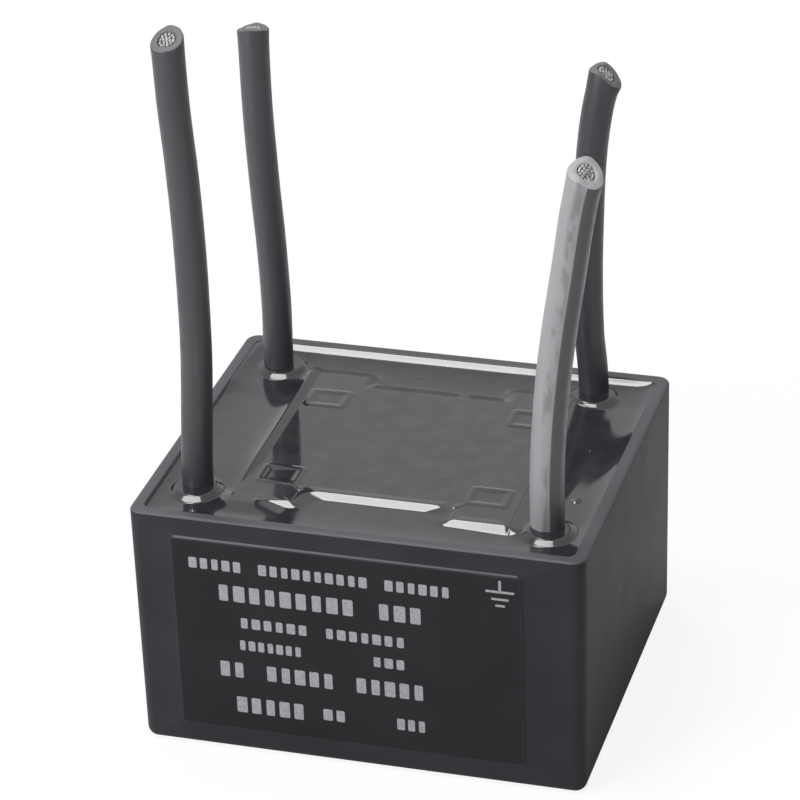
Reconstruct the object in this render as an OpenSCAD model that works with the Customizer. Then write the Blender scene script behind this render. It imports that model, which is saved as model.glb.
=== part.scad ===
// Potted surge protector: a moulded open-top case, filled with resin round a small
// assembly of varistors, thermal fuses and a gas tube, with four wire leads coming out.
// Millimetres. The origin is the centre of the case's underside, X to the right along
// the label face, Y to the back, Z up.

/* [Case] */
// Outside width of the case at its rim, left to right
case_w = 53; // [51:0.5:60]
// Outside depth of the case at its rim, front to back
case_d = 45; // [44:0.5:54]
// Height of the case
case_h = 30.5; // [29:0.5:36]
// Thickness of the side walls
case_wall = 1.5; // [1:0.1:2]
// Thickness of the floor
case_floor = 2; // [1.4:0.1:3]
// Radius of the upright outside corners at the rim
case_corner_r = 1.6; // [1:0.1:3]
// Radius of the upright inside corners at the rim
cavity_corner_r = 0.9; // [0.6:0.1:2]
// Radius round the underside's edge
case_foot_r = 1.2; // [0.4:0.1:1.3]
// Fillet between the floor and the walls inside
floor_fillet_r = 0.6; // [0.3:0.1:1]
// Radius on the rim's outer arris
rim_round_r = 0.25; // [0.1:0.05:0.4]
// How far each wall leans in between its rim and its foot
case_draft = 0.2; // [0:0.05:0.4]

/* [Label panel] */
// Width of the low panel raised on the front face
label_w = 41; // [20:0.5:44]
// Height of the panel
label_h = 25; // [10:0.5:26]
// Offset of the panel's centre from the case's centre
label_x = -1; // [-3:0.5:3]
// Height of the panel's lower edge above the underside
label_z = 3; // [2:0.5:4]
// Height by which the panel stands proud of the face
label_proud = 0.25; // [0.1:0.05:0.5]
// Radius of the panel's corners
label_corner_r = 0.5; // [0.2:0.1:2]

/* [Resin] */
// Drop from the rim to the flat of the resin
resin_drop = 1; // [0.6:0.1:2]
// Radius of the curve by which the resin climbs walls and leads
meniscus_r = 1.6; // [0.8:0.1:2]
// Slope of that curve where it meets a wall or a lead, in degrees
meniscus_angle = 50; // [30:5:60]

/* [Wiring board] */
// Thickness of the board
board_t = 1.6; // [1:0.1:2]
// Gap between the board's edge and the case
board_edge_gap = 0.5; // [0.2:0.1:1]
// Height of the case's corner pads under the board
pad_h = 2; // [1.5:0.1:2.5]
// Length of a corner pad's sides
pad_w = 2.2; // [1.5:0.1:2.5]
// Length of a pin's end below the board
pin_tail = 1.1; // [0.8:0.1:1.2]
// Height of a solder joint below the board
solder_h = 0.8; // [0.4:0.1:1]
// Width of a solder joint round its pin
solder_skirt = 0.7; // [0.4:0.1:0.9]

/* [Varistors] */
// Diameter of a coated varistor disc
varistor_d = 18.6; // [17:0.1:19.5]
// Thickness of a coated varistor disc
varistor_t = 4.4; // [3.5:0.1:5]
// Distance between a varistor's two pins
varistor_pin_pitch = 7.5; // [5:0.5:10]
// Diameter of a varistor's pins
varistor_pin_d = 1; // [0.6:0.1:1.2]
// Height of the disc's lowest point above the board
varistor_lift = 1.6; // [1.2:0.1:2]

/* [Thermal fuses] */
// Thickness of a fuse, face to face
fuse_t = 2.2; // [1.8:0.1:3]
// Width of a fuse
fuse_w = 6.5; // [5:0.5:8]
// Height of a fuse
fuse_h = 8; // [6:0.5:10]
// Distance between a fuse's two pins
fuse_pin_pitch = 4; // [3:0.5:5]
// Diameter of a fuse's pins
fuse_pin_d = 0.6; // [0.5:0.1:0.9]

/* [Gas tube] */
// Diameter of the ceramic ring
tube_d = 8; // [7:0.5:9]
// Bore of the ceramic ring
tube_bore = 5.6; // [4:0.1:5.8]
// Length over both electrodes
tube_l = 6; // [5:0.5:8]
// Thickness of an electrode's flange
electrode_t = 0.8; // [0.8:0.1:1]
// Width by which the ceramic stands past an electrode's flange
electrode_step = 0.2; // [0.1:0.1:0.5]
// Width by which the ceramic's bore clears an electrode's boss
boss_step = 0.5; // [0.3:0.1:0.8]
// Gap between the faces of the two electrodes
spark_gap = 0.8; // [0.4:0.1:1.2]
// Diameter of the gas tube's pins
tube_pin_d = 0.6; // [0.4:0.1:0.7]
// Height of the tube's lowest point above the board
tube_lift = 1; // [0.5:0.1:2]

/* [Element holder and lid] */
// Thickness of the holder's walls
holder_wall = 1.2; // [0.8:0.1:1.5]
// Room between a latch post and the holder's front or back wall
post_margin = 0.7; // [0.3:0.1:1.5]
// Width of a latch post
post_w = 3.4; // [2:0.1:4]
// Thickness of a latch post
post_t = 1.4; // [1:0.1:2]
// Reach of a latch's nose past its post
nose_reach = 1; // [0.4:0.1:1.2]
// Height of a latch's nose
nose_h = 0.6; // [0.4:0.1:0.8]
// Diameter of the pegs that locate the holder on the board
peg_d = 1.4; // [1:0.1:1.4]
// Thickness of the lid
lid_t = 1.5; // [1.2:0.1:2]
// Drop from the case's rim to the lid's top
lid_drop = 0.6; // [0.3:0.1:0.8]
// Overhang of the lid past the holder, left and right
lid_side_overhang = 1.25; // [0.5:0.05:2]
// Overhang of the lid past the holder in the two notches
lid_notch_overhang = 0.1; // [0:0.1:0.5]
// Depth of the notch in the lid's front and back edges
notch_depth = 2.7; // [1:0.1:3]
// Width of those notches
notch_w = 18; // [10:0.5:20]
// Radius of the lid's corners
lid_corner_r = 0.6; // [0.2:0.1:1.5]
// Width of the four latch windows in the lid
window_w = 4.4; // [4.2:0.1:5]
// Length of a latch window, front to back
window_d = 3.5; // [3:0.1:4]
// Depth of a latch window's upper step
window_step = 0.8; // [0.6:0.1:1]

/* [Leads] */
// Outside diameter of the three line leads
line_lead_d = 3.6; // [3:0.1:4]
// Outside diameter of the earth lead
earth_lead_d = 3.9; // [3:0.1:4.2]
// Front left lead: distance of its middle from the case's left side
line_lead_1_side = 5.5; // [4.5:0.1:8]
// Front left lead: distance of its middle from the case's front
line_lead_1_end = 9; // [4.5:0.1:16]
// Rear left lead: distance of its middle from the case's left side
line_lead_2_side = 5.7; // [4.5:0.1:8]
// Rear left lead: distance of its middle from the case's back
line_lead_2_end = 6.2; // [4.5:0.1:16]
// Rear right lead: distance of its middle from the case's right side
line_lead_3_side = 8.6; // [4.5:0.1:14]
// Rear right lead: distance of its middle from the case's back
line_lead_3_end = 4.1; // [4:0.1:4.5]
// Earth lead: distance of its middle from the case's right side
earth_lead_side = 6.2; // [4.8:0.1:7]
// Earth lead: distance of its middle from the case's front
earth_lead_end = 8.5; // [4.8:0.1:16]
// Diameter over a lead's copper strands
wire_d = 1.9; // [1.4:0.1:2.2]
// Distance by which the strands stop short of the jacket's cut end
wire_recess = 0.2; // [0:0.1:0.5]

/* [Clearances] */
// Side gap between neighbouring pieces in the holder
cell_gap = 0.2; // [0.1:0.05:0.4]
// Gap between the holder's walls and posts and what stands beside them
holder_gap = 0.3; // [0.2:0.05:0.6]
// Gap between the last fuse and the gas tube
tube_gap = 0.4; // [0.2:0.1:1]
// Gap between the gas tube and the holder's wall
tube_wall_gap = 0.7; // [0.5:0.1:1.5]
// Clearance all round a pin, a peg or a wire in its hole
hole_clearance = 0.08; // [0.03:0.01:0.15]
// Clearance all round a latch post in its window
latch_clearance = 0.15; // [0.05:0.05:0.3]
// Clearance between the strands and the jacket
wire_clearance = 0.03; // [0.01:0.01:0.05]

/* [Hidden] */

// Where each lead runs from its place on the plan: potted and upright as far as exit_z,
// then free up to its cut end
exit_z = case_h + 0.5;
line_lead_1_route = [
    [0, 0, 8], [0, 0, 19], [0, 0, exit_z],
    [0.3, 0.1, 38], [0.7, 0.2, 46], [0.8, 0.2, 54], [0.7, 0.2, 62],
    [0.4, 0.1, 70], [0, 0, 77], [-0.2, -0.1, 84.3]
];
line_lead_2_route = [
    [0, 0, 8], [0, 0, 19], [0, 0, exit_z],
    [0.1, 0, 38], [-0.1, -0.1, 46], [-0.5, -0.2, 54], [-0.8, -0.3, 62],
    [-0.9, -0.3, 68], [-0.9, -0.3, 73.9]
];
line_lead_3_route = [
    [0, 0, 8], [0, 0, 19], [0, 0, exit_z],
    [-0.5, -0.1, 38], [-0.6, -0.1, 46], [-0.4, 0, 54], [0, 0, 61],
    [0.7, 0.2, 66.5], [1.7, 0.5, 70.8]
];
earth_lead_route = [
    [0, 0, 8], [0, 0, 19], [0, 0, exit_z],
    [0.1, 0, 38], [0.6, 0.2, 46], [1.5, 0.4, 54], [2.5, 0.8, 61],
    [3.5, 1.1, 68], [4.5, 1.4, 73.2]
];
// The way each lead's cut end faces
line_lead_1_cut = [-0.2, -0.5, 1];
line_lead_2_cut = [-0.1, 0.2, 1];
line_lead_3_cut = [0.55, -0.1, 1];
earth_lead_cut = [0.4, -0.3, 1];
// A route set down at its place on the plan
function placed(route, x, y) = [for (q = route) [q[0] + x, q[1] + y, q[2]]];
// Every lead as its route, its cut and its diameter
leads = [
    [placed(line_lead_1_route, line_lead_1_side - case_w / 2, line_lead_1_end - case_d / 2),
     line_lead_1_cut, line_lead_d],
    [placed(line_lead_2_route, line_lead_2_side - case_w / 2, case_d / 2 - line_lead_2_end),
     line_lead_2_cut, line_lead_d],
    [placed(line_lead_3_route, case_w / 2 - line_lead_3_side, case_d / 2 - line_lead_3_end),
     line_lead_3_cut, line_lead_d],
    [placed(earth_lead_route, case_w / 2 - earth_lead_side, earth_lead_end - case_d / 2),
     earth_lead_cut, earth_lead_d]
];
// Sides of a lead's tube
lead_sides = 8;

// Smoothness of the true round surfaces, and of the corners that are blended by hull
round_fn = 48;
corner_fn = 32;
// Steps along a small arc in a profile
arc_steps = 6;
// Overrun of a cut past the face it opens
over = 1;

// Case: the foot's radius stays inside the corner's
foot_r = min(case_foot_r, case_corner_r - case_draft - 0.1);
fillet_r = min(floor_fillet_r, cavity_corner_r - case_draft - 0.1);
face_tilt = atan(case_draft / (case_h - rim_round_r - foot_r));
cavity_w = case_w - 2 * case_wall;
cavity_d = case_d - 2 * case_wall;

// Resin
resin_z = case_h - resin_drop;
meniscus_w = meniscus_r * sin(meniscus_angle);
meniscus_h = meniscus_r * (1 - cos(meniscus_angle));
dish_corner_r = meniscus_w + 0.2;

// Board
board_z = case_floor + pad_h;
board_top = board_z + board_t;
board_w = cavity_w - 2 * (case_draft + board_edge_gap);
board_d = cavity_d - 2 * (case_draft + board_edge_gap);
pin_z = board_z - pin_tail;

// Row of varistors, fuses and the gas tube, from the left wall of the holder
cell_pitch = varistor_t + fuse_t + cell_gap;
holder_in_w = holder_gap + 3 * cell_pitch + tube_gap + tube_l + tube_wall_gap;
varistor_x = [for (i = [0:2]) -holder_in_w / 2 + holder_gap + varistor_t / 2 + i * cell_pitch];
varistor_z = board_top + varistor_lift + varistor_d / 2;
varistor_pin_x = varistor_t / 4;
fuse_x = [for (x = varistor_x) x + varistor_t / 2 + fuse_t / 2];
fuse_z = varistor_z - fuse_h / 2;
tube_x = holder_in_w / 2 - tube_wall_gap - tube_l / 2;
tube_z = board_top + tube_lift + tube_d / 2;
tube_pin_x = [for (s = [-1, 1]) tube_x + s * (tube_l - electrode_t) / 2];

// Holder and lid: the latch posts stand just outside the varistors
post_y = varistor_d / 2 + holder_gap + post_t / 2;
holder_in_d = 2 * (post_y + post_t / 2 + post_margin);
holder_w = holder_in_w + 2 * holder_wall;
holder_d = holder_in_d + 2 * holder_wall;
post_x = holder_in_w / 2 + 0.2 - post_w / 2;
lid_w = holder_w + 2 * lid_side_overhang;
lid_d = holder_d + 2 * (lid_notch_overhang + notch_depth);
lid_side_w = (lid_w - notch_w) / 2;
lid_top = case_h - lid_drop;
lid_z = lid_top - lid_t;
window_y = post_y + post_t / 2 + latch_clearance - window_d / 2;
nose_z = lid_top - window_step;
// Height to which the resin wets the lid's edge
bank_h = min(meniscus_h, lid_top - resin_z);

// Every hole in the board, as [x, y, diameter of what goes through]
lead_holes = [for (l = leads) [l[0][0][0], l[0][0][1], wire_d]];
component_holes = concat(
    [for (x = varistor_x) for (s = [-1, 1])
        [x + s * varistor_pin_x, s * varistor_pin_pitch / 2, varistor_pin_d]],
    [for (x = fuse_x) for (s = [-1, 1]) [x, s * fuse_pin_pitch / 2, fuse_pin_d]],
    [for (x = tube_pin_x) [x, 0, tube_pin_d]]
);

// Points of an arc about c from angle a0 to a1
function arc(c, r, a0, a1, steps = arc_steps) =
    [for (k = [0:steps]) c + r * [cos(a0 + (a1 - a0) * k / steps), sin(a0 + (a1 - a0) * k / steps)]];

// Curve of the resin where it climbs: distance from its foot, and height
function meniscus_curve() =
    [for (k = [0:arc_steps]) let (a = meniscus_angle * k / arc_steps)
        meniscus_r * [sin(a), 1 - cos(a)]];

function unit(v) = v / norm(v);

// Direction of a route at its point i: upright while it is potted
function tangent(p, i) =
    p[i][2] <= exit_z ? [0, 0, 1] : unit(p[min(i + 1, len(p) - 1)] - p[i - 1]);

// One ring of a tube, square to its route
function ring(p, i, r) =
    let (t = tangent(p, i), u = unit([1, 0, 0] - t[0] * t), v = cross(t, u))
    [for (j = [0:lead_sides - 1]) let (a = 360 * j / lead_sides)
        p[i] + r * (cos(a) * u + sin(a) * v)];

// The last ring of a tube, slid along the route into the plane of the cut
function cut_ring(p, r, cut, recess = 0) =
    let (i = len(p) - 1, t = tangent(p, i))
    [for (q = ring(p, i, r)) q - t * (((q - p[i]) * cut) / (t * cut) + recess)];

function tube_rings(p, r, cut, recess = 0) = concat(
    [for (i = [0:len(p) - 2]) each ring(p, i, r)],
    cut_ring(p, r, cut, recess)
);

// Quads between the rings of a tube, seen from outside
function tube_sides(n, from = 0) =
    [for (i = [0:n - 2]) for (j = [0:lead_sides - 1])
        let (k = (j + 1) % lead_sides, a = from + i * lead_sides, b = a + lead_sides)
        [a + j, b + j, b + k, a + k]];

function flipped(faces) = [for (f = faces) [for (k = [len(f) - 1:-1:0]) f[k]]];

// A flat rectangle with rounded corners, about the origin
module rounded_rect(w, d, r) {
    square([w - 2 * r, d], center = true);
    square([w, d - 2 * r], center = true);
    for (x = [-1, 1], y = [-1, 1])
        translate([x * (w / 2 - r), y * (d / 2 - r)]) circle(r = r, $fn = round_fn);
}

// Four copies of a post, stretched into one rounded block
module corner_block(w, d, r) {
    hull()
        for (x = [-1, 1], y = [-1, 1])
            translate([x * (w / 2 - r), y * (d / 2 - r), 0])
                rotate_extrude($fn = corner_fn) children();
}

// The four quarters of the plan, mirrored from the first
module four_ways() {
    for (x = [0, 1], y = [0, 1]) mirror([x, 0, 0]) mirror([0, y, 0]) children();
}

// Outside of the case, drafted, with its rounded foot and rim arris
module case_outside() {
    foot_x = case_corner_r - case_draft;
    corner_block(case_w, case_d, case_corner_r)
        polygon(concat(
            [[0, 0]],
            arc([foot_x - foot_r, foot_r], foot_r, -90, 0),
            arc([case_corner_r - rim_round_r, case_h - rim_round_r], rim_round_r, 0, 90, 3),
            [[0, case_h]]
        ));
}

// Hollow of the case up to a height, with the same draft as the outside
module cavity(top) {
    lean = case_draft / case_h;
    foot_x = cavity_corner_r - lean * (case_h - case_floor - fillet_r);
    corner_block(cavity_w, cavity_d, cavity_corner_r)
        polygon(concat(
            [[0, case_floor]],
            arc([foot_x - fillet_r, case_floor + fillet_r], fillet_r, -90, 0),
            [[cavity_corner_r - lean * (case_h - top), top], [0, top]]
        ));
}

// Pads in the cavity's corners that carry the board
module corner_pads() {
    four_ways()
        translate([cavity_w / 2 - case_draft - pad_w, cavity_d / 2 - case_draft - pad_w, 0])
            translate([0, 0, case_floor / 2])
                cube([pad_w + case_wall / 2, pad_w + case_wall / 2, case_floor / 2 + pad_h]);
}

// Low panel for the printed label, parallel to the leaning front face
module label_panel() {
    root = case_wall / 2;
    translate([label_x, -case_d / 2 + case_draft, foot_r])
        rotate([face_tilt, 0, 0])
            translate([0, root, label_z + label_h / 2 - foot_r])
                rotate([90, 0, 0])
                    linear_extrude(root + label_proud)
                        rounded_rect(label_w, label_h, label_corner_r);
}

module case() {
    color("#38373b") {
        difference() {
            union() {
                case_outside();
                label_panel();
            }
            cavity(case_h + over);
        }
        intersection() {
            corner_pads();
            case_outside();
        }
    }
}

// Space that the resin leaves above it: its edge follows the climb at the walls
module resin_dish() {
    curve = meniscus_curve();
    corner_block(cavity_w, cavity_d, dish_corner_r)
        polygon(concat(
            [[0, resin_z]],
            [for (q = curve) [dish_corner_r - meniscus_w, resin_z] + q],
            [[dish_corner_r + over, resin_z + meniscus_h],
             [dish_corner_r + over, case_h + over], [0, case_h + over]]
        ));
}

// Collar of resin that climbs a lead
module lead_collar(l) {
    r = l[2] / 2;
    translate([l[0][0][0], l[0][0][1], 0])
        rotate_extrude($fn = round_fn)
            polygon(concat(
                [[0, resin_z - over], [r + meniscus_w, resin_z - over]],
                [for (q = meniscus_curve()) [r + meniscus_w - q[0], resin_z + q[1]]],
                [[0, resin_z + meniscus_h]]
            ));
}

// Low bank of resin round a block of the lid, where it wets the lid's edge
module lid_bank(w, d, x = 0) {
    if (bank_h > 0)
        hull() {
            translate([x - w / 2 - meniscus_w, -d / 2 - meniscus_w, resin_z - over])
                cube([w + 2 * meniscus_w, d + 2 * meniscus_w, over]);
            translate([x - w / 2, -d / 2, resin_z]) cube([w, d, bank_h]);
        }
}

// Upright potted stretch of a lead: its jacket, and its wire down through the board
module potted_lead(l) {
    p = l[0][0];
    translate([p[0], p[1], p[2]]) cylinder(d = l[2], h = case_h + over - p[2], $fn = lead_sides);
    translate([p[0], p[1], pin_z]) cylinder(d = wire_d, h = p[2] - pin_z + over, $fn = lead_sides);
}

module potting_resin() {
    color("#2c2b2f")
        difference() {
            intersection() {
                cavity(resin_z + meniscus_h);
                union() {
                    difference() {
                        cavity(resin_z + meniscus_h);
                        resin_dish();
                    }
                    for (l = leads) lead_collar(l);
                    lid_bank(lid_w, lid_d - 2 * notch_depth);
                    lid_bank(lid_side_w, lid_d, (lid_w - lid_side_w) / 2);
                    lid_bank(lid_side_w, lid_d, -(lid_w - lid_side_w) / 2);
                }
            }
            corner_pads();
            board_blank();
            translate([0, 0, board_top])
                linear_extrude(lid_z - board_top + over)
                    rounded_rect(holder_w, holder_d, holder_wall);
            translate([0, 0, lid_z]) linear_extrude(lid_t + over) lid_outline();
            for (l = leads) potted_lead(l);
            for (h = concat(lead_holes, component_holes)) {
                solder_cone(h);
                translate([h[0], h[1], pin_z]) cylinder(d = h[2], h = pin_tail + over, $fn = round_fn);
            }
        }
}

module board_blank() {
    translate([0, 0, board_z])
        linear_extrude(board_t)
            square([board_w, board_d], center = true);
}

module wiring_board() {
    color("#3f4a41")
        difference() {
            board_blank();
            for (h = concat(lead_holes, component_holes))
                translate([h[0], h[1], board_z - over])
                    cylinder(d = h[2] + 2 * hole_clearance, h = board_t + 2 * over, $fn = round_fn);
            four_ways()
                translate([post_x, post_y, board_z - over])
                    cylinder(d = peg_d + 2 * hole_clearance, h = board_t + 2 * over, $fn = round_fn);
        }
}

// Latch post, its nose in the lid's window and its peg in the board
module latch_post() {
    translate([post_x - post_w / 2, post_y - post_t / 2, board_top])
        cube([post_w, post_t, nose_z + nose_h - board_top]);
    translate([post_x - post_w / 2, post_y - post_t / 2, nose_z])
        rotate([90, 0, 90])
            linear_extrude(post_w)
                polygon([[0, 0], [-nose_reach, 0], [-nose_reach, nose_h / 3], [0, nose_h]]);
    translate([post_x, post_y, board_z]) cylinder(d = peg_d, h = board_t + over, $fn = round_fn);
}

module element_holder() {
    color("#4a494d") {
        translate([0, 0, board_top])
            linear_extrude(lid_z - board_top)
                difference() {
                    rounded_rect(holder_w, holder_d, holder_wall);
                    square([holder_in_w, holder_in_d], center = true);
                }
        four_ways() latch_post();
    }
}

module lid_outline() {
    difference() {
        rounded_rect(lid_w, lid_d, lid_corner_r);
        for (y = [-1, 1])
            translate([0, y * lid_d / 2])
                square([notch_w, 2 * notch_depth], center = true);
    }
}

module holder_lid() {
    color("#454448")
        difference() {
            translate([0, 0, lid_z]) linear_extrude(lid_t) lid_outline();
            four_ways() {
                translate([post_x - window_w / 2, window_y - window_d / 2, nose_z])
                    cube([window_w, window_d, window_step + over]);
                translate([post_x - post_w / 2 - latch_clearance,
                           post_y - post_t / 2 - latch_clearance, lid_z - over])
                    cube([post_w + 2 * latch_clearance, post_t + 2 * latch_clearance, lid_t + 2 * over]);
            }
        }
}

// Pins of one varistor, buried in its coating and standing through the board
module varistor_pins(i) {
    color("#b9b8b4")
        for (s = [-1, 1])
            translate([varistor_x[i] + s * varistor_pin_x, s * varistor_pin_pitch / 2, pin_z])
                cylinder(d = varistor_pin_d, h = varistor_z - varistor_d / 4 - pin_z, $fn = round_fn);
}

// Coated disc with a rounded edge, and the coating's run-down on each pin
module varistor(i) {
    edge_r = varistor_t / 3;
    color("#3a5a8c")
        difference() {
            union() {
                translate([varistor_x[i], 0, varistor_z])
                    rotate([0, 90, 0])
                        rotate_extrude($fn = round_fn)
                            polygon(concat(
                                [[0, -varistor_t / 2]],
                                arc([varistor_d / 2 - edge_r, -varistor_t / 2 + edge_r], edge_r, -90, 0),
                                arc([varistor_d / 2 - edge_r, varistor_t / 2 - edge_r], edge_r, 0, 90),
                                [[0, varistor_t / 2]]
                            ));
                for (s = [-1, 1])
                    translate([varistor_x[i] + s * varistor_pin_x, s * varistor_pin_pitch / 2,
                               board_top + varistor_lift / 2])
                        cylinder(d1 = varistor_pin_d * 1.3, d2 = varistor_pin_d * 2,
                                 h = varistor_lift / 2 + varistor_d / 8, $fn = round_fn);
            }
            varistor_pins(i);
        }
}

module fuse_pins(i) {
    color("#b9b8b4")
        for (s = [-1, 1])
            translate([fuse_x[i], s * fuse_pin_pitch / 2, pin_z])
                cylinder(d = fuse_pin_d, h = fuse_z + fuse_h / 4 - pin_z, $fn = round_fn);
}

// Flat moulded pellet, its back against the varistor beside it
module thermal_fuse(i) {
    color("#d8d3c4")
        difference() {
            translate([fuse_x[i] - fuse_t / 2, 0, fuse_z + fuse_h / 2])
                rotate([90, 0, 90])
                    linear_extrude(fuse_t) rounded_rect(fuse_w, fuse_h, 1);
            fuse_pins(i);
        }
}

module gas_tube_ceramic() {
    color("#e8e6e0")
        translate([tube_x, 0, tube_z])
            rotate([0, 90, 0])
                difference() {
                    cylinder(d = tube_d, h = tube_l - 2 * electrode_t, center = true, $fn = round_fn);
                    cylinder(d = tube_bore, h = tube_l, center = true, $fn = round_fn);
                }
}

// Electrode: a flange brazed to the ceramic, and a boss that faces the other one
module gas_tube_electrode(side) {
    color("#b5b4b0")
        difference() {
            translate([tube_x, 0, tube_z])
                rotate([0, 90 * side, 0]) {
                    translate([0, 0, tube_l / 2 - electrode_t])
                        cylinder(d = tube_d - 2 * electrode_step, h = electrode_t, $fn = round_fn);
                    translate([0, 0, spark_gap / 2])
                        cylinder(d = tube_bore - 2 * boss_step, h = tube_l / 2 - spark_gap / 2,
                                 $fn = round_fn);
                }
            gas_tube_pins();
        }
}

// Pins welded to the lower edges of the two electrodes
module gas_tube_pins() {
    color("#b9b8b4")
        for (x = tube_pin_x)
            translate([x, 0, pin_z])
                cylinder(d = tube_pin_d, h = tube_z - tube_d / 4 - pin_z, $fn = round_fn);
}

// Jacket of a lead: one hollow tube along its route, cut off at its end
module lead_jacket(l) {
    r = l[2] / 2;
    bore = wire_d / 2 + wire_clearance;
    n = len(l[0]);
    inner = n * lead_sides;
    top = (n - 1) * lead_sides;
    rims = [for (j = [0:lead_sides - 1]) let (k = (j + 1) % lead_sides)
        each [[j, k, inner + k, inner + j],
              [top + k, top + j, inner + top + j, inner + top + k]]];
    polyhedron(
        points = concat(tube_rings(l[0], r, l[1]), tube_rings(l[0], bore, l[1])),
        faces = concat(tube_sides(n), flipped(tube_sides(n, inner)), rims),
        convexity = 4
    );
}

// Strands of a lead: one round bundle from under the board to just short of the cut
module lead_wire(l) {
    p = concat([[l[0][0][0], l[0][0][1], pin_z]], l[0]);
    n = len(p);
    foot = [for (j = [0:lead_sides - 1]) j];
    head = [for (j = [lead_sides - 1:-1:0]) (n - 1) * lead_sides + j];
    polyhedron(
        points = tube_rings(p, wire_d / 2, l[1], wire_recess),
        faces = concat(tube_sides(n), [foot, head]),
        convexity = 4
    );
}

// Cone of solder under the board round what comes through hole h
module solder_cone(h) {
    translate([h[0], h[1], board_z - solder_h])
        cylinder(d1 = h[2] + 0.4, d2 = h[2] + 2 * solder_skirt, h = solder_h, $fn = round_fn);
}

module lead_solder() {
    color("#a9a9a6")
        difference() {
            for (h = lead_holes) solder_cone(h);
            for (l = leads) potted_lead(l);
        }
}

module component_solder() {
    color("#a9a9a6")
        difference() {
            for (h = component_holes) solder_cone(h);
            for (h = component_holes)
                translate([h[0], h[1], pin_z - over])
                    cylinder(d = h[2], h = pin_tail + 2 * over, $fn = round_fn);
        }
}

module varistor_1() { varistor(0); }
module varistor_2() { varistor(1); }
module varistor_3() { varistor(2); }
module varistor_pins_1() { varistor_pins(0); }
module varistor_pins_2() { varistor_pins(1); }
module varistor_pins_3() { varistor_pins(2); }
module thermal_fuse_1() { thermal_fuse(0); }
module thermal_fuse_2() { thermal_fuse(1); }
module thermal_fuse_3() { thermal_fuse(2); }
module fuse_pins_1() { fuse_pins(0); }
module fuse_pins_2() { fuse_pins(1); }
module fuse_pins_3() { fuse_pins(2); }
module gas_tube_line_electrode() { gas_tube_electrode(-1); }
module gas_tube_earth_electrode() { gas_tube_electrode(1); }
module line_lead_1_jacket() { color("#505054") lead_jacket(leads[0]); }
module line_lead_2_jacket() { color("#47464b") lead_jacket(leads[1]); }
module line_lead_3_jacket() { color("#424042") lead_jacket(leads[2]); }
module earth_lead_jacket() { color("#9b9a9d") lead_jacket(leads[3]); }
module line_lead_1_wire() { color("#c4c3c1") lead_wire(leads[0]); }
module line_lead_2_wire() { color("#c4c3c1") lead_wire(leads[1]); }
module line_lead_3_wire() { color("#c4c3c1") lead_wire(leads[2]); }
module earth_lead_wire() { color("#c4c3c1") lead_wire(leads[3]); }

case();
potting_resin();
wiring_board();
element_holder();
holder_lid();
varistor_1();
varistor_2();
varistor_3();
varistor_pins_1();
varistor_pins_2();
varistor_pins_3();
thermal_fuse_1();
thermal_fuse_2();
thermal_fuse_3();
fuse_pins_1();
fuse_pins_2();
fuse_pins_3();
gas_tube_ceramic();
gas_tube_line_electrode();
gas_tube_earth_electrode();
gas_tube_pins();
line_lead_1_jacket();
line_lead_2_jacket();
line_lead_3_jacket();
earth_lead_jacket();
line_lead_1_wire();
line_lead_2_wire();
line_lead_3_wire();
earth_lead_wire();
lead_solder();
component_solder();
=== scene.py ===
"""Looks of a potted surge protector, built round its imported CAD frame.

Each class builds one sub-assembly from sizes in millimetres, and main() builds them in order:
camera, leads, case, resin, lid, print, sealed inner parts, floor and lights.
"""

import logging
import math
from collections.abc import Iterable, Sequence
from dataclasses import dataclass
from enum import Enum

import bmesh
import bpy
from bmesh.types import BMFace, BMVert
from mathutils import Matrix, Vector, noise
from mathutils.geometry import tessellate_polygon


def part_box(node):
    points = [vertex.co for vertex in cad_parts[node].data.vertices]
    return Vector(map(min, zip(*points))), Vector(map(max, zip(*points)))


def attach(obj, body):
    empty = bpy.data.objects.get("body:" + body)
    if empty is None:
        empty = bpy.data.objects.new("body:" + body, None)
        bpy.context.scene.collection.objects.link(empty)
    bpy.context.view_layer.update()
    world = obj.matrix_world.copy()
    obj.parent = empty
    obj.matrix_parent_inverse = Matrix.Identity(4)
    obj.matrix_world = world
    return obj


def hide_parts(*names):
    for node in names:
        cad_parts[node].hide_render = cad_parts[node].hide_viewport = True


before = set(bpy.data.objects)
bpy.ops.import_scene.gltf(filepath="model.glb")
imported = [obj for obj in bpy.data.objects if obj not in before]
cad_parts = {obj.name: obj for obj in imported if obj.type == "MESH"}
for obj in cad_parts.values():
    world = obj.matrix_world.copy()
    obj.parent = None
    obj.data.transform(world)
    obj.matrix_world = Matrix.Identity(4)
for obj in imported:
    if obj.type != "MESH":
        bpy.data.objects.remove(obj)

MM = 0.001
BODY = "root"
WHITE = (1, 1, 1, 1)
# Mid grey of painted shade on the pale side of the striped jacket, where it turns away from the
# light.
STRIPE_PAINTED_SHADE = "59595c"
SHARP_DEG = 50.0
SAME_POINT = 1e-7
log = logging.getLogger("surge_protector")


# Colour and nodes

def linear(code: str) -> tuple[float, float, float, float]:
    """Turns a six-digit sRGB hex colour into linear light, with an alpha of 1."""
    parts = [int(code[k:k + 2], 16) / 255 for k in (0, 2, 4)]
    return (*[c / 12.92 if c <= 0.04045 else ((c + 0.055) / 1.055) ** 2.4 for c in parts], 1.0)


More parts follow.
